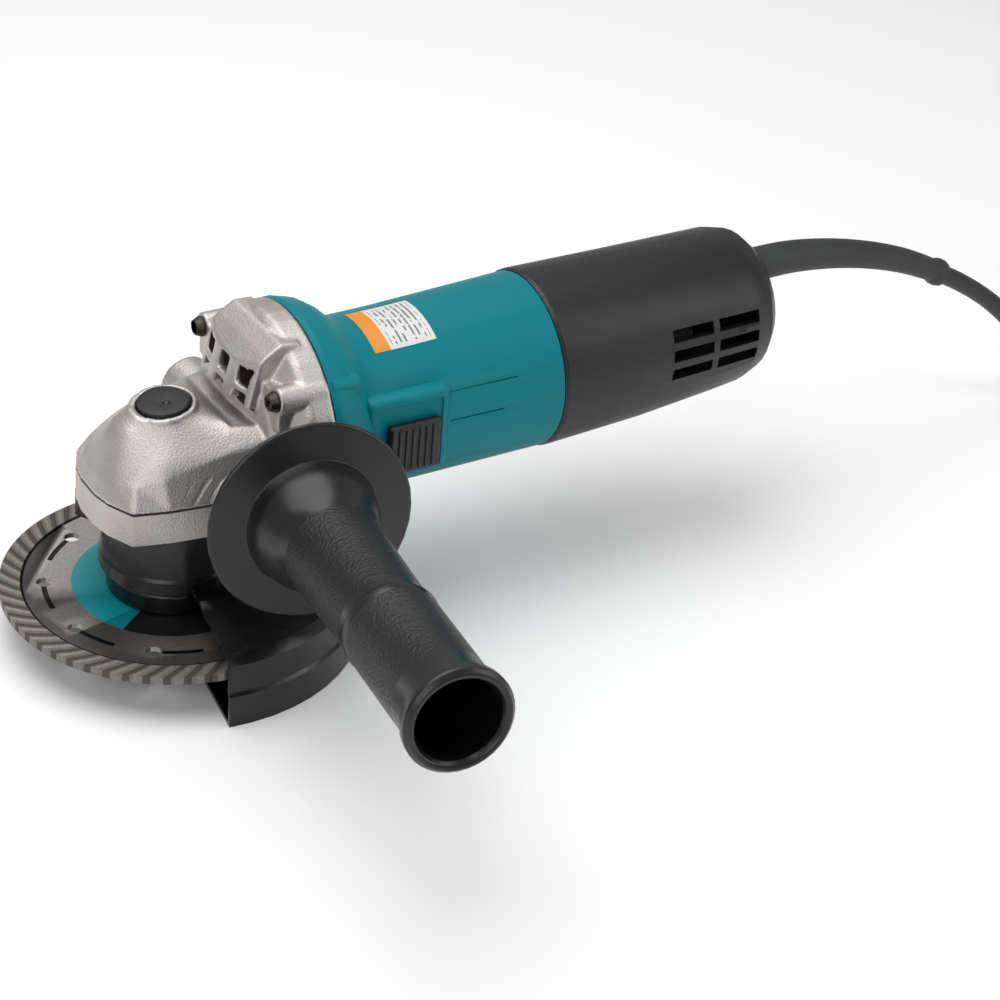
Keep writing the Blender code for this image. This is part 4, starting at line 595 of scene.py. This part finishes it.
printed = calc(tree, "LESS_THAN", radius, PRINT_RADIUS)
teal_print = mix_colour(tree, printed, arced, "#008C93")
sector = calc(tree, "MULTIPLY", printed, between(tree, angle, -2.5, -1.5))
tree.links.new(mix_colour(tree, sector, teal_print, "#141414"), shader.inputs["Base Color"])
bare = calc(tree, "SUBTRACT", 1.0, printed)
tree.links.new(calc(tree, "MULTIPLY", bare, 0.9), shader.inputs["Metallic"])
rough = calc(tree, "ADD", calc(tree, "MULTIPLY", on_rim, 0.3), 0.36)
tree.links.new(rough, shader.inputs["Roughness"])
relief = calc(tree, "MULTIPLY", calc(tree, "MULTIPLY", ribs, on_rim), 0.5)
bumped(tree, shader, relief, 0.9, 0.9)
wheel.data.materials.append(wheel_face)
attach(wheel, "spindle_group")

# ---------------------------------------------------------------- motor housing
# One moulding in teal glass-filled nylon: flared round the fan, straight along the stator, with a
# raised frame round the switch slider, two panel lines behind it and a foil label on its top.

housing = refined("motor_shell", "motor_housing")
frame_block = block("slider_frame", (70.2, -28.4, 1.0), (30.5, 7.2, 31.0))
soft_edges(frame_block, 2.2, 3)
room = block("slider_room", (69.9, -33.0, 0.6), (25.4, 3.7, 26.2))
soft_edges(room, 0.8, 2)
carve(frame_block, "DIFFERENCE", [room])
carve(housing, "UNION", [frame_block])
BARREL_RADIUS = 29.8
seams = []
for k, height in enumerate((11.6, 2.0)):
    tilt = math.degrees(math.asin(height / BARREL_RADIUS))
    away = math.cos(math.radians(tilt)) * BARREL_RADIUS
    seams.append(block(f"panel_line_{k}", (105.0, -away, height), (36, 0.9, 0.5), (-tilt, 0, 0)))
carve(housing, "DIFFERENCE", seams)
soft_edges(housing, 0.35)
# Glass-filled nylon: an even colour with a fine spark-eroded texture, drawn at 0.8 mm to show.
teal, tree, shader, place = new_finish("teal_glass_filled_nylon", "#007680", 0.45)
shader.inputs["Specular IOR Level"].default_value = 0.16
tone = mix_colour(tree, noise(tree, place, 30.0, 4.0), "#007079", "#007A83")
tree.links.new(tone, shader.inputs["Base Color"])
bumped(tree, shader, noise(tree, place, 1200.0), 0.16, 0.2)
housing.data.materials.append(teal)
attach(housing, "machine")

deselect()
bpy.ops.mesh.primitive_plane_add(size=MM, location=at(77, -4, 34))
label = bpy.context.object
label.name = "rating_label"
label.scale = (23, 22, 1)
bpy.ops.object.transform_apply(location=True, rotation=True, scale=True)
bpy.ops.object.mode_set(mode="EDIT")
bpy.ops.mesh.subdivide(number_cuts=31)
bpy.ops.object.mode_set(mode="OBJECT")
hug = label.modifiers.new("hug", "SHRINKWRAP")
hug.target = housing
hug.wrap_method = "PROJECT"
hug.use_project_x = False
hug.use_project_y = False
hug.use_project_z = True
hug.use_negative_direction = True
hug.use_positive_direction = False
hug.offset = 0.08 * MM
bpy.ops.object.modifier_apply(modifier=hug.name)
sheet = label.modifiers.new("sheet", "SOLIDIFY")
sheet.thickness = 0.12 * MM
sheet.offset = 1.0
bpy.ops.object.modifier_apply(modifier=sheet.name)
bpy.ops.object.shade_smooth_by_angle(angle=math.radians(40))
# Pale foil: an orange band at the front edge, then plain grey rules in place of any lettering.
foil, tree, shader, place = new_finish("printed_foil_label", "#C9CACB", 0.35)
parts = add(tree, "ShaderNodeSeparateXYZ", {"Vector": place})
along_x = calc(tree, "MULTIPLY", calc(tree, "SUBTRACT", parts.outputs["X"], CROSSING.x), 1 / MM)
across_y = calc(tree, "MULTIPLY", calc(tree, "SUBTRACT", parts.outputs["Y"], CROSSING.y), 1 / MM)
rows = calc(tree, "SINE", calc(tree, "MULTIPLY", along_x, 3.4))
gaps = calc(tree, "GREATER_THAN", noise(tree, place, 420.0, 1.0), 0.44)
in_width = between(tree, across_y, -13.6, 5.6)
inside = calc(tree, "MULTIPLY", in_width, between(tree, along_x, 72.6, 87.2))
broken = calc(tree, "MULTIPLY", gaps, inside)
ruled = calc(tree, "MULTIPLY", calc(tree, "GREATER_THAN", rows, 0.35), broken)
base = mix_colour(tree, ruled, "#D2D3D2", "#6F7273")
banded = mix_colour(tree, calc(tree, "LESS_THAN", along_x, 71.4), base, "#D98A1C")
tree.links.new(banded, shader.inputs["Base Color"])
bumped(tree, shader, noise(tree, place, 150.0), 0.05, 0.2)
label.data.materials.append(foil)
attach(label, "machine")

# ---------------------------------------------------------------- rear cover
# A black nylon sleeve over the brushes and the switch, with slots that let the cooling air in.

# Moulded black nylon: a fine even grain that breaks up the highlights, drawn at 0.7 mm.
moulded, tree, shader, place = new_finish("moulded_black_nylon", "#0C0C0D", 0.4)
wear = spread(tree, noise(tree, place, 55.0, 5.0), 0.34, 0.5)
tree.links.new(wear, shader.inputs["Roughness"])
bumped(tree, shader, noise(tree, place, 1400.0), 0.3, 0.22)
cover = refined("rear_shell", "rear_cover")
soft_edges(cover, 0.5, 3)
cover.data.materials.append(moulded)
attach(cover, "machine")

# ---------------------------------------------------------------- side handle
# Moulded in black nylon round a steel stud: a smooth guard flange and neck, then a grip with a coarse
# leathery grain between smooth rings, and an open end.

grip = refined("handle_grip", "side_handle")
soft_edges(grip, 0.7, 3)
grained, tree, shader, place = new_finish("grained_black_nylon", "#0A0A0B", 0.34)
HANDLE_START = at(21.1, -57.7, -4.0)
turned, raised = math.radians(7.6), math.radians(4.0)
handle_way = (
    -math.sin(turned) * math.cos(raised),
    -math.cos(turned) * math.cos(raised),
    math.sin(raised),
)
from_start = add(
    tree, "ShaderNodeVectorMath", {0: place, 1: tuple(HANDLE_START)}, operation="SUBTRACT"
)
along_way = add(
    tree,
    "ShaderNodeVectorMath",
    {0: from_start.outputs["Vector"], 1: handle_way},
    operation="DOT_PRODUCT",
)
reach = calc(tree, "MULTIPLY", along_way.outputs["Value"], 1 / MM)
panels = calc(tree, "ADD", between(tree, reach, 20.0, 64.0), between(tree, reach, 72.0, 108.0))
grain = calc(tree, "MULTIPLY", noise(tree, place, 950.0, 4.0), panels)
bumped(tree, shader, grain, 0.75, 0.6)
rough = calc(tree, "ADD", calc(tree, "MULTIPLY", panels, 0.1), 0.3)
tree.links.new(rough, shader.inputs["Roughness"])
grip.data.materials.append(grained)
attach(grip, "handle")

# ---------------------------------------------------------------- switch slider and lock button
# Two black nylon controls: the slider has finger ribs across its way of travel, and the button has a
# small dimple in its crown.

slider = refined("slider_pad", "switch_slider")
RIB_PITCH = 2.5
finger_ribs = []
for k in range(6):
    finger_ribs.append(block(f"rib_{k}", (65.6 + RIB_PITCH * k, -34.2, -2.2), (1.1, 1.2, 15.4)))
carve(slider, "UNION", finger_ribs)
soft_edges(slider, 0.3, 2)
slider.data.materials.append(moulded)
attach(slider, "switch")
button = refined("lock_cap", "shaft_lock_button")
deselect()
bpy.ops.mesh.primitive_uv_sphere_add(
    segments=24, ring_count=12, radius=1.7 * MM, location=at(BUTTON_X, -1.6, 16.4)
)
dimple = bpy.context.object
crown = block("crown_cut", (BUTTON_X, 0, 20.4), (40, 40, 10), CROWN_TILT)
carve(button, "DIFFERENCE", [crown, dimple])
soft_edges(button, 0.4, 3)
button.data.materials.append(moulded)
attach(button, "lock_button")

# ---------------------------------------------------------------- works inside
# What shows through the slots and when the machine is taken apart: ground shafts and gears, stacked
# sheet cores, enamelled copper, brass holders and carbon brushes.

ground, tree, shader, place = new_finish("ground_steel", "#A9A9AB", 0.25, 1.0)
tone = mix_colour(tree, noise(tree, place, 300.0, 5.0), "#97979A", "#B9B9BB")
tree.links.new(tone, shader.inputs["Base Color"])
finish_nodes(
    ground,
    *("spindle", "ring_gear", "pinion", "pinion_nut", "armature_shaft", "spindle_needle_bearing"),
    *("spindle_ball_bearing", "armature_bearing_front", "armature_bearing_rear", "bearing_retainer"),
    *("handle_stud", "shaft_lock_pin", "shaft_lock_spring", "brush_spring_left", "brush_spring_right"),
)

# Sheets of 0.5 mm stacked along the motor: thin darker lines between them, drawn every 1.2 mm.
laminated, tree, shader, place = new_finish("stacked_core_sheet", "#5C5D61", 0.45, 1.0)
parts = add(tree, "ShaderNodeSeparateXYZ", {"Vector": place})
stack = calc(tree, "SINE", calc(tree, "MULTIPLY", parts.outputs["X"], 2 * math.pi / (1.2 * MM)))
lines = calc(tree, "GREATER_THAN", stack, 0.6)
tone = mix_colour(tree, lines, "#6A6B6F", "#2E2F32")
tree.links.new(tone, shader.inputs["Base Color"])
finish_nodes(laminated, "stator_core", "armature_core")

# Enamelled wire: coppery strands side by side, glossy from the varnish. Each strand's colour carries
# painted shade in the grooves between strands and a painted highlight along its crest.
copper, tree, shader, place = new_finish("enamelled_copper_wire", "#A8562E", 0.28, 0.85)
strands = add(tree, "ShaderNodeTexWave", {"Vector": place, "Scale": 260.0, "Distortion": 1.2})
# painted shade: darker in the grooves between strands, lighter on their crests
tone = mix_colour(tree, strands.outputs["Fac"], "#6E331A", "#B96437")
tree.links.new(tone, shader.inputs["Base Color"])
bumped(tree, shader, strands.outputs["Fac"], 0.6, 0.3)
coils = ("field_coil_top", "field_coil_bottom", "armature_winding_front", "armature_winding_rear")
finish_nodes(copper, *coils, "commutator")

brass, tree, shader, place = new_finish("stamped_brass", "#B8973F", 0.32, 1.0)
tone = mix_colour(tree, noise(tree, place, 220.0, 4.0), "#A58433", "#C9AA55")
tree.links.new(tone, shader.inputs["Base Color"])
finish_nodes(brass, "brush_holder_left", "brush_holder_right")

carbon, tree, shader, place = new_finish("pressed_carbon", "#161616", 0.6)
tone = mix_colour(tree, noise(tree, place, 900.0), "#101010", "#262524")
tree.links.new(tone, shader.inputs["Base Color"])
finish_nodes(carbon, "carbon_brush_left", "carbon_brush_right")
finish_nodes(moulded, "switch_rod", "power_switch", "cord_clamp", "fan", "fan_baffle")
